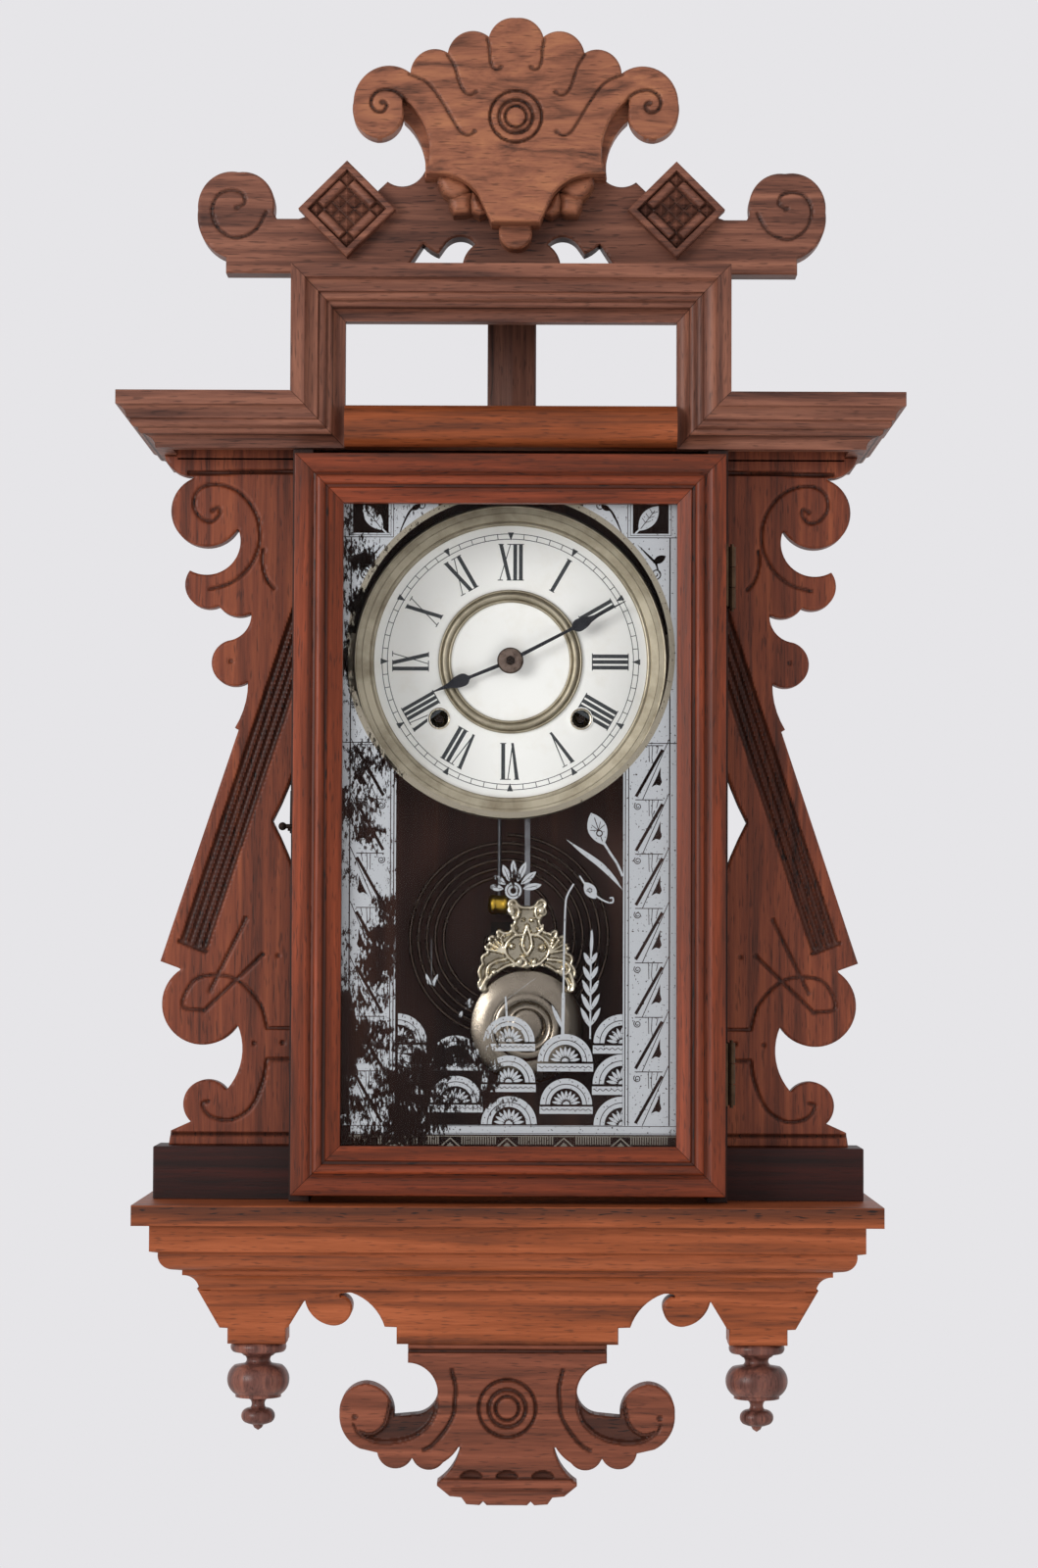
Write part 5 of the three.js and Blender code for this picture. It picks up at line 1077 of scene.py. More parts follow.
def side_shapes():
    """The right band and its upper corner in painting order: ground, rules, a leafy curl, seven ladders."""
    paint, silver, clear = painter()
    silver(bar(62.4, 92.6, -258.4, 86.4), bar(40, 62.4, 55, 86.4))
    clear(bar(67.3, 87.0, 66.2, 85.8), *ribbon([(64.6, 86.4), (64.6, 64), (92.6, 64)], 0.5),
          *ribbon([(66, 86.4), (66, 65.2), (88.4, 65.2), (88.4, 86.4)], 0.4))
    silver(petal(70.6, 67.8, 17.5, 8.6, 38), *ribbon([(68.6, 66.2), (71.4, 69)], 0.9))
    clear(*ribbon([(71.6, 69), (79.4, 79)], 0.45))
    for a in (0.3, 0.5, 0.7):
        x, z = 71.2 + 10 * a, 68.4 + 13 * a
        clear(*ribbon([(x, z), (x - 1.8, z + 2.6)], 0.35), *ribbon([(x, z), (x + 3.0, z + 1.0)], 0.35))
    for x, top, wide in ((63.6, 62, 0.55), (65.4, 62, 0.5), (87.8, 64, 0.7)):
        clear(*ribbon([(x, -258.4), (x, top)], wide))
    for k in range(7):
        clear(*ladder(-50.4 - 29.75 * k))
    clear(*ribbon(spiral(80, 44, 3.4, 0.8, 200, 1.5, 24), 0.7),
          *ribbon([(70, 60), (77, 53), (80, 50), (82, 44)], 1.6, True), petal(78.5, 50, 8, 4.2, 60),
          *ribbon(curve([(47, 84), (54, 80), (58, 74), (63, 62)]), 1.2, True),
          *ribbon(spiral(49.4, 81.4, 2.6, 0.7, 20, 1.4, 24), 0.6), petal(55, 79, 6, 3, -62))
    return paint


def print_shapes():
    """The whole print in painting order: (outline, 1 for silver or 0 for clear), in mm on the glass."""
    paint, silver, clear = painter()
    paint += side_shapes()
    paint += [(loop * [-1, 1] + [0.4, 0], value) for loop, value in paint]
    clear(circle(90.4, 120, 0.3)[:-1])
    clear(bar(-93, 93, -49.4, -48.9))
    left, right = -60.4, 62.2
    for x, z, r in ((right, -213.3, 15.8), (right, -235.6, 16.2), (left, -213.3, 15.8), (left, -235.6, 16.2)):
        for loop, value in fan(x, z, r):
            keep = np.clip(loop[:, 0], left, right)
            if np.ptp(keep) > 0.05:
                paint.append((np.column_stack([keep, loop[:, 1]]), value))
    for x, z, r in ((31, -223.4, 15), (31.6, -246.8, 14.2), (0.3, -212.7, 14), (0.1, -234.8, 14.6), (-28.8, -223.4, 14),
                    (-28.8, -246, 14.6), (0.4, -257.6, 15.2), (right, -258.0, 15.6), (left, -258.0, 15.6)):
        for loop, value in fan(x, z, r):
            if z < -257:
                loop = np.column_stack([np.clip(loop[:, 0], left, right), np.clip(loop[:, 1], -258.0, None)])
            if min(np.ptp(loop, axis=0)) > 0.05:
                paint.append((loop, value))
    silver(bar(-86, 92.6, -263.2, -258.2))
    clear(*ribbon([(-86, -258.6), (92, -258.6)], 0.35), *ribbon([(-86, -262.6), (92, -262.6)], 0.3))
    # the grasses and flowers above the fans
    silver(*ribbon(curve([(35.4, -126.3), (32.2, -132), (30.9, -138), (30.3, -158.5), (29.9, -186)]), 1.0),
           *ribbon([(29.9, -186), (29.6, -209)], 1.8), petal(29.6, -206, 15, 2.2, -24))
    silver(*ribbon([(45.2, -152), (44.9, -168), (44.6, -211)], 0.9), petal(45, -166, 15, 1.8, 2))
    for k in range(5):
        z = -204 + 8.4 * k
        silver(petal(44.8, z, 11.5 - k, 2.4, 28), petal(44.8, z - 1, 12.5 - k, 2.6, -26))
    silver(*ribbon(curve([(50.4, -101.5), (55, -109), (59, -115), (62.2, -122)]), 1.3),
           petal(51.8, -105, 19, 10.5, -22))
    clear(circle(1.9, 16, 49.4, -98.6)[:-1], *ribbon([(51, -103), (46.6, -90)], 0.5))
    silver(circle(1.2, 14, 49.4, -98.6)[:-1])
    for a in (-70, -35, 35, 70):
        lean = math.radians(a - 20)
        clear(*ribbon([(48.8, -97), (48.8 + 4.5 * math.sin(lean), -97 + 5 * math.cos(lean))], 0.4))
    silver(*ribbon(curve([(31.6, -102.3), (40, -108.6), (50, -116), (57, -123), (62.2, -129.6)]), 3.0, True),
           *ribbon(curve([(38.6, -121.9), (42, -127), (47.4, -132.6), (53, -136), (56.6, -136.4), (56.8, -134),
                          (55, -134)]), 0.9), petal(41.4, -125.4, 11, 6.4, 146))
    x, z = 44.2, -129.8
    clear(circle(1.5, 12, x, z)[:-1])
    for a in (0, 60, 120):
        c, q = 2.4 * math.cos(math.radians(a)), 2.4 * math.sin(math.radians(a))
        silver(*ribbon([(x - c * 0.6, z - q * 0.6), (x + c * 0.6, z + q * 0.6)], 0.35))
    x, z = 2.3, -130.2
    silver(circle(4.6, 32, x, z)[:-1])
    clear(*ribbon(circle(3.2, 24, x, z), 0.5), circle(1.7, 20, x, z)[:-1])
    for a, long in ((-22, 10), (0, 11.5), (24, 12), (50, 11), (78, 10.5), (-52, 8), (-80, 8)):
        c, q = math.sin(math.radians(a)), math.cos(math.radians(a))
        silver(petal(x + 5.4 * c, z + 5.4 * q, long, 3.6, a))
        clear(*ribbon([(x + 6.4 * c, z + 6.4 * q), (x + (3 + long) * c, z + (3 + long) * q)], 0.35))
    silver(*ribbon([(-42.4, -157), (-42.2, -180)], 0.9, True), petal(-42.3, -184, 9, 2, -20),
           petal(-42.3, -184, 9, 2, 24), petal(-42.2, -186, 5, 2.2, 3),
           *ribbon([(-18, -169.8), (-24.4, -183.7)], 0.8, True), *ribbon([(-14.2, -178.7), (-22.8, -194)], 1.6, True),
           petal(-23.6, -195.4, 8, 3.4, 30), petal(-27, -200.4, 5, 1.8, 20),
           *ribbon([(14.6, -178), (-1.6, -190)], 1.0, True), *ribbon([(-1.6, -188), (-1, -200)], 1.1))
    return [(np.array(q), value) for q, value in paint]


def comb_shapes():
    """The duller border below: a rule with a comb of ticks, broken by small triangles, at the pane's foot."""
    out = [*ribbon([(-87, -264.2), (92, -264.2)], 0.45), *ribbon([(-87, -270.2), (92, -270.2)], 0.4)]
    middles = -62.6 + 31.0 * np.arange(6)
    for x in middles[:5]:
        out += ribbon([(x - 5.4, -270), (x, -265.2), (x + 5.4, -270)], 0.9)
        out.append(np.array([(x - 2.2, -269.6), (x + 2.2, -269.6), (x, -267.4)]))
    for x in np.arange(-85, 91, 1.3):
        if np.abs(x - middles).min() > 5.6:
            out += ribbon([(x, -264.4), (x, -268.6)], 0.62)
    return [(q, 1) for q in out]


def printed(name, paint, material):
    """Paints outlines over each other and keeps what ends silver.

    All their edges go into one constrained triangulation, and each triangle takes the value of the last outline
    that holds its middle.
    """
    corners, edges = [], []
    for loop, _ in paint:
        n = len(corners)
        corners += [Vector(c) for c in loop.tolist()]
        edges += [(n + i, n + (i + 1) % len(loop)) for i in range(len(loop))]
    points, _, faces, _, _, _ = delaunay_2d_cdt(corners, edges, [], 0, 1e-4)
    points, faces = np.array([tuple(p) for p in points]), np.array(faces)
    middle = points[faces].mean(1)
    kept = np.zeros(len(faces), bool)
    for loop, value in paint:
        k = np.nonzero(((middle > loop.min(0)) & (middle < loop.max(0))).all(1))[0]
        kept[k[within(middle[k], loop)]] = value
    used, faces = np.unique(faces[kept], return_inverse=True)
    points = np.column_stack([points[used, 0], np.full(len(used), PRINT_FACE), points[used, 1]])
    return piece(name, points, faces.reshape(-1, 3), "door", "glass", material)


def print_pieces():
    """Silver print on the back of the pane, the bronze ring about the dial and the duller comb border at the foot."""
    look = bpy.context.scene.clock_print
    ring = [(circle(90.4, 120, 0.3)[:-1], 1), (circle(87.2, 120, 0.3)[:-1], 0), (bar(-93, 93, 86, 96), 0)]
    printed("Glass_print", print_shapes(), silver_print("Silver print", look.silver, 0.55))
    printed("Glass_border", comb_shapes(), silver_print("Bronze print", look.bronze, 0.55))
    printed("Glass_ring", ring, silver_print("Bronze ring print", look.ring, 0.5))


# ---------------------------------------------------------------- movement, pendulum, gong


def works_pieces():
    """Gong with its block, hammer, pendulum and the latch's pin."""
    gong_pieces()
    pendulum_pieces()
    shank = turned([(1.25, 118), (1.25, 122)], 20, lambda u, v, h: (-h, -114 + u, -95.5 + v))
    piece("Latch_pin", *joined(shank, ball(-123.9, -114, -95.5, 2.25)), "door", "iron", metal("iron"), "latch_pin")


def gong_pieces():
    """The gong's wire in five even turns with its lead into the block, and the hammer on its arbor."""
    start, pitch, coils, inner = 8.15, 4.8, 5, 34.9
    wire = bpy.context.scene.clock_carving.wire / MM
    lead = np.linspace(0, 1, 97)
    turns = np.linspace(0, 1, 128 * coils + 1)[1:]
    first = start + wire + 1.2
    r = np.concatenate([first + (inner - first) * lead, inner + pitch * coils * turns])
    a = math.pi + 2 * math.pi * np.concatenate([0.75 * lead, 0.75 + coils * turns])
    line = np.stack([GONG_X + r * np.cos(a), np.full(len(r), GONG_Y), GONG_Z + r * np.sin(a)], 1)
    line = np.vstack([[GONG_X - start, GONG_Y, GONG_Z], line])
    piece("Gong_coil", *tube(line, wire / 2, 10), "case", "steel", metal("spring"), "gong_coil")
    dress("gong_block", metal("iron"))
    arbor = joined(tube([(HAMMER_X, -11.5, -50), (HAMMER_X, -34.0, -50)], 1.3, 20),
                   tube([(HAMMER_X, -22.2, -50), (HAMMER_X, -27, -50)], 3.4, 28),
                   tube([(HAMMER_X, HAMMER_Y, -52), (HAMMER_X, HAMMER_Y, -134)], 0.95, 14))
    piece("Hammer_arbor", *arbor, "hammer", "steel", metal("steel"), "strike_hammer")
    head = path([[0.05, -6.5], [2.6, -6.4], [4.9, -5.4, 5.4, -1.8], [5.4, 1.8], [4.9, 5.4, 2.6, 6.4], [0.05, 6.5]])
    barrel = turned(head, 48, lambda u, v, h: (HAMMER_X + h, HAMMER_Y + u, -137 + v))
    piece("Hammer_head", *barrel, "hammer", "brass", metal("bright"))


def pendulum_pieces():
    """The rod, the spun bob and the casting on it, whose knobs, ribs and rim stand up from a sunk ground."""
    dress("pendulum_rod", metal("steel"))
    dish = path([[0.05, 1.8], [28, 2.4], [31.6, 2.2, 32, 1.4], [31.9, 0.4, 31.4, -0.1], [24.8, -2.2],
                 [22.4, -2.6, 19.6, -2.7], [19.2, -2.7, 18.9, -3.5], [17, -4.4, 15, -4.2], [14.5, -4.0, 14.2, -3.2],
                 [12.6, -1.5, 11.0, -1.4], [10.6, -1.6], [9.4, -3.2, 6.4, -4.1], [3.2, -4.45, 0.05, -4.5]], 8)
    bob = turned(shift(dish, 0, ROD_Y), 120, about_y(PENDULUM_X, BOB_Z))
    cast = [[0, 68.6], [3, 68.8, 4.8, 70.6], [10.4, 71.9, 11.2, 67.2], [11.6, 63.6, 9.4, 61.8], [8.0, 59.6, 9.4, 57.6],
            [10.4, 54.4, 14.2, 54.8], [17.6, 54.4, 17.6, 51.2], [21.8, 51.2, 22.2, 47.6], [24.6, 45.2, 23.4, 42.2],
            [26.4, 39.8, 26.2, 35.6], [28.4, 31.2, 27.4, 26.8], [28.2, 21.8, 25.8, 19.6], [23.2, 19.4, 22.6, 22.6],
            [20, 27.5, 15.5, 30.4], [9, 33.6, 0, 32.2]]
    loop = shift(both(path(cast)), PENDULUM_X, BOB_Z)
    knobs = [(-8.7, 64.8, 2.8), (8.3, 65.3, 2.8), (-13.4, 51.6, 1.7), (13.6, 52, 1.7), (-3.9, 36.4, 2.6),
             (8.4, 44.6, 2.3), (-8.6, 45.4, 1.9), (4.2, 36.6, 2.2), (-18.6, 30.6, 2.2), (20.6, 32.6, 2.2),
             (-2.2, 60.4, 1.2), (2.4, 60.2, 1.2), (-6.4, 55.4, 1.3), (6.6, 55.6, 1.3), (0, 35.4, 1.7),
             (-7.4, 33.6, 1.2), (9.4, 34.4, 1.2)]
    knobs += [(s * x, z, 1.1) for s in (-1, 1) for x, z in ((22.4, 45.6), (20.6, 48.6), (17.8, 50.4))]
    ribs = [([(-8.7, 69), (-5, 66.4), (-5.4, 62), (-9, 60.4), (-9.4, 56), (-5.6, 52)], 2.0),
            ([(8.3, 69), (5, 66.4), (5.4, 62), (9, 60.4), (9.4, 56), (5.6, 52)], 2.0),
            ([(0, 57), (-2.2, 50), (-2.6, 45), (0, 40.6)], 1.9), ([(0, 57), (2.2, 50), (2.6, 45), (0, 40.6)], 1.9),
            ([(-2.6, 52), (-7.4, 51), (-11.6, 46.6), (-11.8, 41), (-7.6, 36.4), (-3.4, 33), (-0.4, 36.4),
              (-3, 39.6)], 1.8),
            ([(2.6, 52), (7.4, 51), (12, 46.6), (12, 41), (8, 36.4), (4, 34)], 1.8),
            ([(-12, 38), (-17, 37), (-21.6, 34), (-22.6, 29), (-19, 26.4), (-15.6, 29)], 1.9),
            ([(12, 38), (17, 37.6), (22, 36.4), (24.4, 32.6), (21.6, 29.6), (18, 31.6)], 1.9),
            ([(-22.8, 27), (-25, 23), (-26.4, 19.6)], 2.6), ([(24.8, 30), (26.2, 25), (26.2, 20)], 2.6)]
    ribs += [([(s * 12.6, 41.6), (s * (12.6 + 9.6 * math.cos(a)), 41.6 + 9 * math.sin(a))], 1.5)
             for s in (-1, 1) for a in np.radians((12, 34, 56, 76))]

    def rounded(height, t):
        return height * np.sqrt(np.clip(1 - t, 0, 1))

    def relief(p):
        q = p - [PENDULUM_X, BOB_Z]
        up = rounded(1.6, ((distance(p, loop, True)[0] - 1.3) / 1.2) ** 2)
        for x, z, r in knobs:
            up = np.maximum(up, rounded(2.3, ((q[:, 0] - x) ** 2 + (q[:, 1] - z) ** 2) / r**2))
        for line, width in ribs:
            up = np.maximum(up, rounded(1.9, (2 * distance(q, curve(line, 6))[0] / (1.35 * width)) ** 2))
        return 2.3 - up

    casting = carved(loop, ROD_Y - 3.4, ROD_Y + 1.4, relief, 0.45, 0.5)
    piece("Pendulum_bob", *bob, "pendulum", "silver", metal("spun"))
    board_piece("Pendulum_casting", casting, "silver", metal("casting"), "pendulum_bob", 0.0, "pendulum")


def ball(x, y, z, r, n=20):
    """A sphere about (x, y, z), cut in n rings."""
    t = math.pi * np.linspace(0.02, 0.98, n)
    return turned(np.stack([r * np.sin(t), r * np.cos(t)], 1), 2 * n, lambda u, v, h: (x + u, y + v, z + h))


def dress(name, material, bevel=0.0, front=None):
    """A CAD solid that stays as it is, with its finish and, on squared timber, edges eased by a bevel modifier.

    A second finish may cover the faces ahead of SQUARE_Y, where an arbor comes through the dial.
    """
    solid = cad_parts[name]
    solid.data.materials.clear()
    solid.data.materials.append(material)
    BUILT.append(name)
    if front:
        solid.data.materials.append(front)
        centre = np.empty(3 * len(solid.data.polygons), np.float32)
        solid.data.polygons.foreach_get("center", centre)
        ahead = centre.reshape(-1, 3)[:, 1] < SQUARE_Y * MM
        solid.data.polygons.foreach_set("material_index", ahead.astype(np.int32))
    if bevel:
        solid.modifiers.new("Weld", "WELD").merge_threshold = 0.00001
        eased = solid.modifiers.new("Bevel", "BEVEL")
        eased.width, eased.segments, eased.limit_method = bevel * MM, 2, "ANGLE"
        eased.angle_limit = math.radians(50)


def plain_solids():
    """Timber and metal whose solids are already right."""
    # the sides, top and deck take the deep tone given for unlit timber: painted shade
    for side in ("left", "right"):
        dress("case_side_" + side, walnut("dark", "z"), 0.5)
    for name in ("case_top", "bridge_deck"):
        dress(name, walnut("dark", "x"), 0.5)
    for side in ("left", "right"):
        # the plinth tone is walnut darkened as painted shade
        dress("plinth_block_" + side, walnut("plinth", "x"), 0.7)
    dress("back_board", pine(), 0.5)
    dress("hanger_plate", metal("steel"))
    for leaf_of in ("case", "door"):
        for level in ("upper", "lower"):
            dress(f"hinge_{level}_{leaf_of}_leaf", metal("bronze"))
    dress("movement_front_plate", metal("smoked"))
    for name in ("time_great_wheel", "strike_great_wheel", "centre_wheel"):
        dress(name, metal("brass"), front=metal("iron"))
    for name in ("movement_back_plate", "time_second_wheel", "third_wheel", "escape_wheel"):
        dress(name, metal("brass"))
    dress("verge_crutch", metal("steel"))
    dress("latch_hook", metal("iron"))
    dress("door_glass", window_glass())


# ---------------------------------------------------------------- stage


def set_stage():
    """Plain light: a soft pale room, one broad lamp ahead and above, a fill, and the camera that took the picture."""
    scene = bpy.context.scene
    stage = scene.clock_stage
    scene.view_settings.view_transform = "Standard"
    world = bpy.data.worlds.new("Pale room")
    scene.world = world
    world.use_nodes = True
    t = world.node_tree
    t.nodes.clear()
    ray = node(t, "LightPath").outputs
    seen = sums(t, "MAXIMUM", ray["Is Camera Ray"], ray["Is Transmission Ray"])
    seen = sums(t, "MAXIMUM", seen, ray["Is Glossy Ray"])
    soft = node(t, "Background", {"Color": (1, 1, 1, 1), "Strength": stage.room})
    shown = node(t, "Background", {"Color": srgb(stage.backdrop), "Strength": 1.0})
    mix = node(t, "MixShader", {0: seen, 1: soft.outputs[0], 2: shown.outputs[0]})
    node(t, "OutputWorld", {"Surface": mix.outputs[0]})
    for name, place, aim, size, watts in (
        ("Key", (-1.7, -1.9, 0.35), (0, 0, -0.05), 1.2, stage.key),
        ("Fill", (1.4, -2.2, 0.1), (0, 0, -0.05), 1.6, stage.fill),
        ("Low", (0.1, -1.7, -1.4), (0, 0, -0.1), 1.4, stage.low),
    ):
        lamp = bpy.data.lights.new(name, "AREA")
        lamp.shape, lamp.size, lamp.energy = "DISK", size, watts
        holder = bpy.data.objects.new(name, lamp)
        scene.collection.objects.link(holder)
        holder.location = place
        away = Vector((np.array(place, float) - aim).tolist())
        holder.rotation_euler = away.to_track_quat("Z", "Y").to_euler()
        holder.visible_camera = False
        holder.visible_glossy = name == "Key"
    floor = bpy.data.meshes.new("Floor")
    floor.from_pydata([(x, y, -1.6) for x, y in ((-6, -6), (6, -6), (6, 6), (-6, 6))], [], [(0, 1, 2, 3)])
    floor.materials.append(plain("Pale floor", "fafafa f2f2f4", 0.9, 3.0, 0.3))
    ground = bpy.data.objects.new("Floor", floor)
    scene.collection.objects.link(ground)
    lens = bpy.data.cameras.new("Camera")
    lens.lens, lens.sensor_width = 83.25, 36.0
    eye = bpy.data.objects.new("Camera", lens)
    scene.collection.objects.link(eye)
    scene.camera = eye
    eye.matrix_world = camera_matrix()
    BUILT.append("Stage")


def camera_matrix():
    """The fitted camera: forward f from pitch p and yaw y, turned by the roll, at its place in metres."""
    p, y, roll = 0.044575, -0.0022935, 0.003673
    f = np.array([math.sin(y) * math.cos(p), math.cos(y) * math.cos(p), math.sin(p)])
    r = np.array([math.cos(y), -math.sin(y), 0])
    u = np.cross(r, f)
    r2, u2 = math.cos(roll) * r + math.sin(roll) * u, math.cos(roll) * u - math.sin(roll) * r
    m = np.eye(4)
    m[:3, 0], m[:3, 1], m[:3, 2], m[:3, 3] = r2, u2, -f, np.array([9.786, -2095.376, -160.283]) * MM
    return Matrix(m.tolist())


# ---------------------------------------------------------------- add-on


def hexes(name, description, default):
    """A property that holds one or more colours."""
    return bpy.props.StringProperty(name=name, description=description + ", as sRGB hex", default=default)


class ClockCarving(bpy.types.PropertyGroup):
    """How the gouge cut and how far wear has spread it."""

    spread: bpy.props.FloatProperty(name="Groove spread", description="Width of a cut line against the gouge's own",
                                    default=1.25, min=0.5, max=2.0, subtype="FACTOR")
    sink: bpy.props.FloatProperty(name="Groove depth", description="Depth of a cut line against its drawn depth",
                                  default=1.35, min=0.3, max=2.0, subtype="FACTOR")
    wire: bpy.props.FloatProperty(name="Gong wire", description="Diameter of the gong's wire", default=0.0022,
                                  min=0.001, max=0.003, unit="LENGTH")


class ClockWood(bpy.types.PropertyGroup):
    """Colours of each timber, pale, middle and deep."""

    door: hexes("Door", "Pale, middle and deep colour of the door's walnut", "8c4025 6c2f19 451f11")
    case: hexes("Case", "Pale, middle and deep colour of crest and cornices", "93604c 724738 40261f")
    wing: hexes("Wings", "Pale, middle and deep colour of the wing boards", "8c4a30 6f3725 432218")
    shell: hexes("Shell", "Pale, middle and deep colour of the applied shell", "a56b4c 8b5640 4f3024")
    base: hexes("Base", "Pale, middle and deep colour of shelf, base and drop", "a65935 8a4625 5a2e1b")
    # painted shade: the plinth blocks' colours are darkened for the shade they stand in
    plinth: hexes("Plinths", "Pale, middle and deep colour of the plinth blocks", "3c1610 2c100c 180907")
    turned: hexes("Finials", "Pale, middle and deep colour of the turned finials", "8c5848 68423a 3e241d")
    drop: hexes("Drop", "Pale, middle and deep colour of the carved drop", "8a4e38 6e3b29 46261a")
    dark: hexes("Inside", "Pale, middle and deep colour of the unlit case sides", "3c211a 2c1813 1b0e0c")
    pine: hexes("Back", "Deep, middle and pale colour of the stained back board", "25120e 3c2017 523022")
    figure: bpy.props.FloatProperty(name="Shell figure", description="How much broader the shell's streaks are",
                                    default=2.4, min=1.0, max=4.0, subtype="FACTOR")


class ClockMetal(bpy.types.PropertyGroup):
    """Colour and tarnish of each metal."""

    nickel: hexes("Nickel", "Colour and tarnish of pan and rings", "b9b09a 857a65")
    casting: hexes("Casting", "Colour and tarnish of the pendulum's casting", "e6dcc4 6b5c44")
    spun: hexes("Bob", "Colour and tarnish of the spun bob", "958b7d 4c433a")
    brass: hexes("Brass", "Colour and tarnish of plates and wheels", "a08346 5f4c28")
    smoked: hexes("Front plate", "Colour and tarnish of the plate behind the dial", "3c301c 1c150c")
    bright: hexes("Hammer head", "Colour and tarnish of the hammer's head", "c9a53f 8a6a24")
    steel: hexes("Steel", "Colour and tarnish of rod and crutch", "7b7c80 47423f")
    bronze: hexes("Hinges", "Colour and tarnish of the hinge leaves", "5a4636 32261f")
    blued: hexes("Hands", "Colour and tarnish of the hands", "37383c 232224")
    collet: hexes("Collet", "Colour and tarnish of the disc over the hands", "7a6a60 40332d")
    spring: hexes("Gong", "Colour and tarnish of the gong's wire", "54463e 2c221d")
    iron: hexes("Iron", "Colour and tarnish of block, hook and squares", "2a2624 3d2a20")


class ClockPrint(bpy.types.PropertyGroup):
    """Paint and ink of the dial and the pane."""

    dial: hexes("Dial", "Colour and wear of the dial's white", "f8f8f4 e2dccc")
    ink: hexes("Ink", "Colour and wear of numerals and track", "2c3033 55585a")
    silver: hexes("Silver", "Colour of the silver print", "adb0b4")
    bronze: hexes("Bronze", "Colour of the border under it", "7b746a")
    ring: hexes("Ring", "Colour of the ring about the dial", "8a8272")


class ClockStage(bpy.types.PropertyGroup):
    """Light and backdrop."""

    key: bpy.props.FloatProperty(name="Key", description="Lamp ahead on the left", default=34.0, min=0, unit="POWER")
    fill: bpy.props.FloatProperty(name="Fill", description="Lamp ahead on the right", default=10.0, min=0, unit="POWER")
    low: bpy.props.FloatProperty(name="Low", description="Lamp ahead and below", default=9.0, min=0, unit="POWER")
    room: bpy.props.FloatProperty(name="Room", description="Light from all round", default=0.5, min=0, max=2,
                                  subtype="FACTOR")
    backdrop: hexes("Backdrop", "Colour behind the clock", "e6e5e8")


def run_step(build):
    """Runs one step and stops with an error where it leaves nothing behind."""
    count = len(BUILT)
    build()
    if len(BUILT) == count:
        raise RuntimeError("nothing was made by " + build.__name__)
    return {"FINISHED"}


class CLOCK_OT_crest(bpy.types.Operator):
    """Crest board, applied shell with its leaves, and the two lozenge blocks"""

    bl_idname = "clock.crest"
    bl_label = "Crest"

    def execute(self, context):
        return run_step(crest_pieces)


class CLOCK_OT_mouldings(bpy.types.Operator):
    """Cornices, returns, risers, bridge rail and frieze"""

    bl_idname = "clock.mouldings"
    bl_label = "Mouldings"

    def execute(self, context):
        return run_step(moulding_pieces)


class CLOCK_OT_wings(bpy.types.Operator):
    """The two wing boards with their flutes and scrolls"""

    bl_idname = "clock.wings"
    bl_label = "Wings"

    def execute(self, context):
        return run_step(wing_pieces)


class CLOCK_OT_base(bpy.types.Operator):
    """Shelf, base moulding, apron, finials, carved drop and the post behind the bridge"""

    bl_idname = "clock.base"
    bl_label = "Base"

    def execute(self, context):
        return run_step(base_pieces)


class CLOCK_OT_door(bpy.types.Operator):
    """The door's four mitred members"""

    bl_idname = "clock.door"
    bl_label = "Door"

    def execute(self, context):
        return run_step(door_pieces)


class CLOCK_OT_dial(bpy.types.Operator):
    """Pan and bezel, numerals and track, middle ring and winding collars"""

    bl_idname = "clock.dial"
    bl_label = "Dial"

    def execute(self, context):
        return run_step(dial_pieces)


class CLOCK_OT_hands(bpy.types.Operator):
    """Hour and minute hand"""

    bl_idname = "clock.hands"
    bl_label = "Hands"

    def execute(self, context):
        return run_step(hand_pieces)


class CLOCK_OT_print(bpy.types.Operator):
    """Silver print on the pane and the border at its foot"""

    bl_idname = "clock.print"
    bl_label = "Glass print"

    def execute(self, context):
        return run_step(print_pieces)


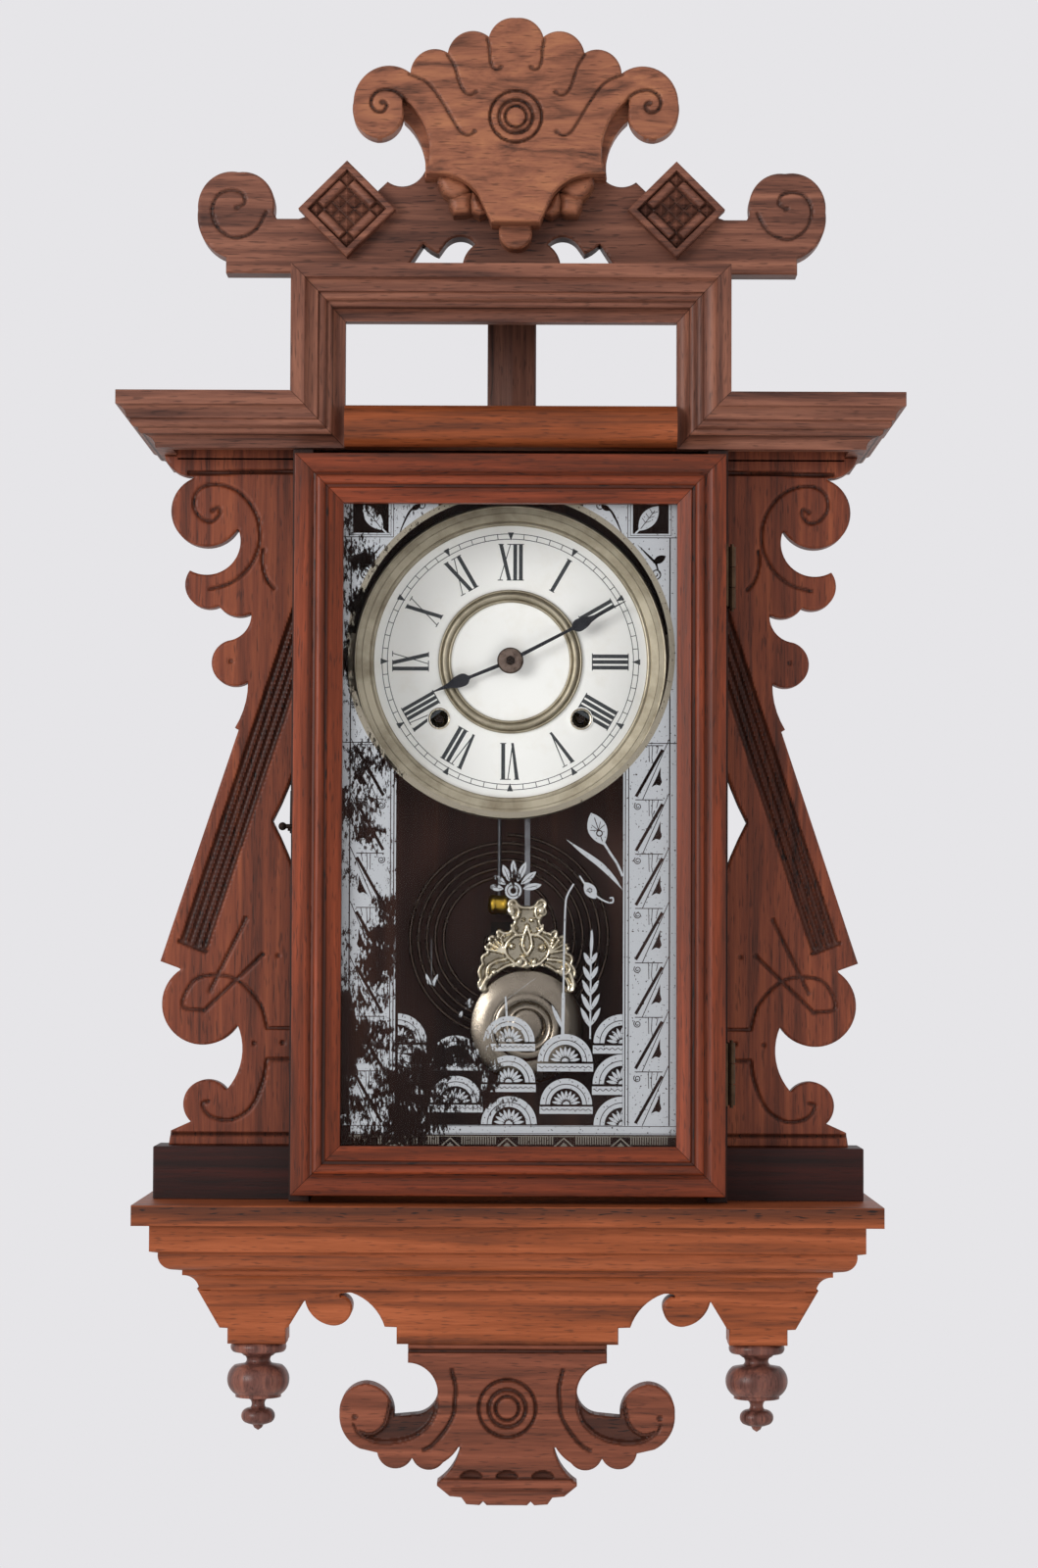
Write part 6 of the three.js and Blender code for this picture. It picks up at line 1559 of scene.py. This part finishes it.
class CLOCK_OT_works(bpy.types.Operator):
    """Gong, hammer, pendulum and the latch's pin"""

    bl_idname = "clock.works"
    bl_label = "Works"

    def execute(self, context):
        return run_step(works_pieces)


class CLOCK_OT_solids(bpy.types.Operator):
    """Finishes for the solids that keep their shape"""

    bl_idname = "clock.solids"
    bl_label = "Plain solids"

    def execute(self, context):
        return run_step(plain_solids)


class CLOCK_OT_stage(bpy.types.Operator):
    """Room light, lamps, floor and camera"""

    bl_idname = "clock.stage"
    bl_label = "Stage"

    def execute(self, context):
        return run_step(set_stage)


class CLOCK_PT_panel(bpy.types.Panel):
    """Every step of the clock, and the values behind them"""

    bl_idname = "CLOCK_PT_panel"
    bl_label = "Carved clock"
    bl_space_type = "VIEW_3D"
    bl_region_type = "UI"
    bl_category = "Clock"

    def draw(self, context):
        for key in GROUPS:
            group = getattr(context.scene, key)
            box_of = self.layout.box()
            for field in group.__annotations__:
                box_of.prop(group, field)
        for step in STEPS:
            self.layout.operator(step.bl_idname)


GROUPS = {"clock_carving": ClockCarving, "clock_wood": ClockWood, "clock_metal": ClockMetal, "clock_print": ClockPrint,
          "clock_stage": ClockStage}
STEPS = (CLOCK_OT_crest, CLOCK_OT_mouldings, CLOCK_OT_wings, CLOCK_OT_base, CLOCK_OT_door, CLOCK_OT_dial,
         CLOCK_OT_hands, CLOCK_OT_print, CLOCK_OT_works, CLOCK_OT_solids, CLOCK_OT_stage)


def register():
    """Adds the groups, steps and panel, and hangs each group on the scene."""
    for made in (*GROUPS.values(), *STEPS, CLOCK_PT_panel):
        bpy.utils.register_class(made)
    for key, group in GROUPS.items():
        setattr(bpy.types.Scene, key, bpy.props.PointerProperty(type=group))


def unregister():
    """Takes away what register adds, in the opposite order."""
    for key in GROUPS:
        delattr(bpy.types.Scene, key)
    for made in (CLOCK_PT_panel, *STEPS[::-1], *reversed(GROUPS.values())):
        bpy.utils.unregister_class(made)


def main():
    """Runs every step."""
    register()
    for step in STEPS:
        getattr(bpy.ops.clock, step.bl_idname.split(".")[1])()


if __name__ == "__main__":
    main()
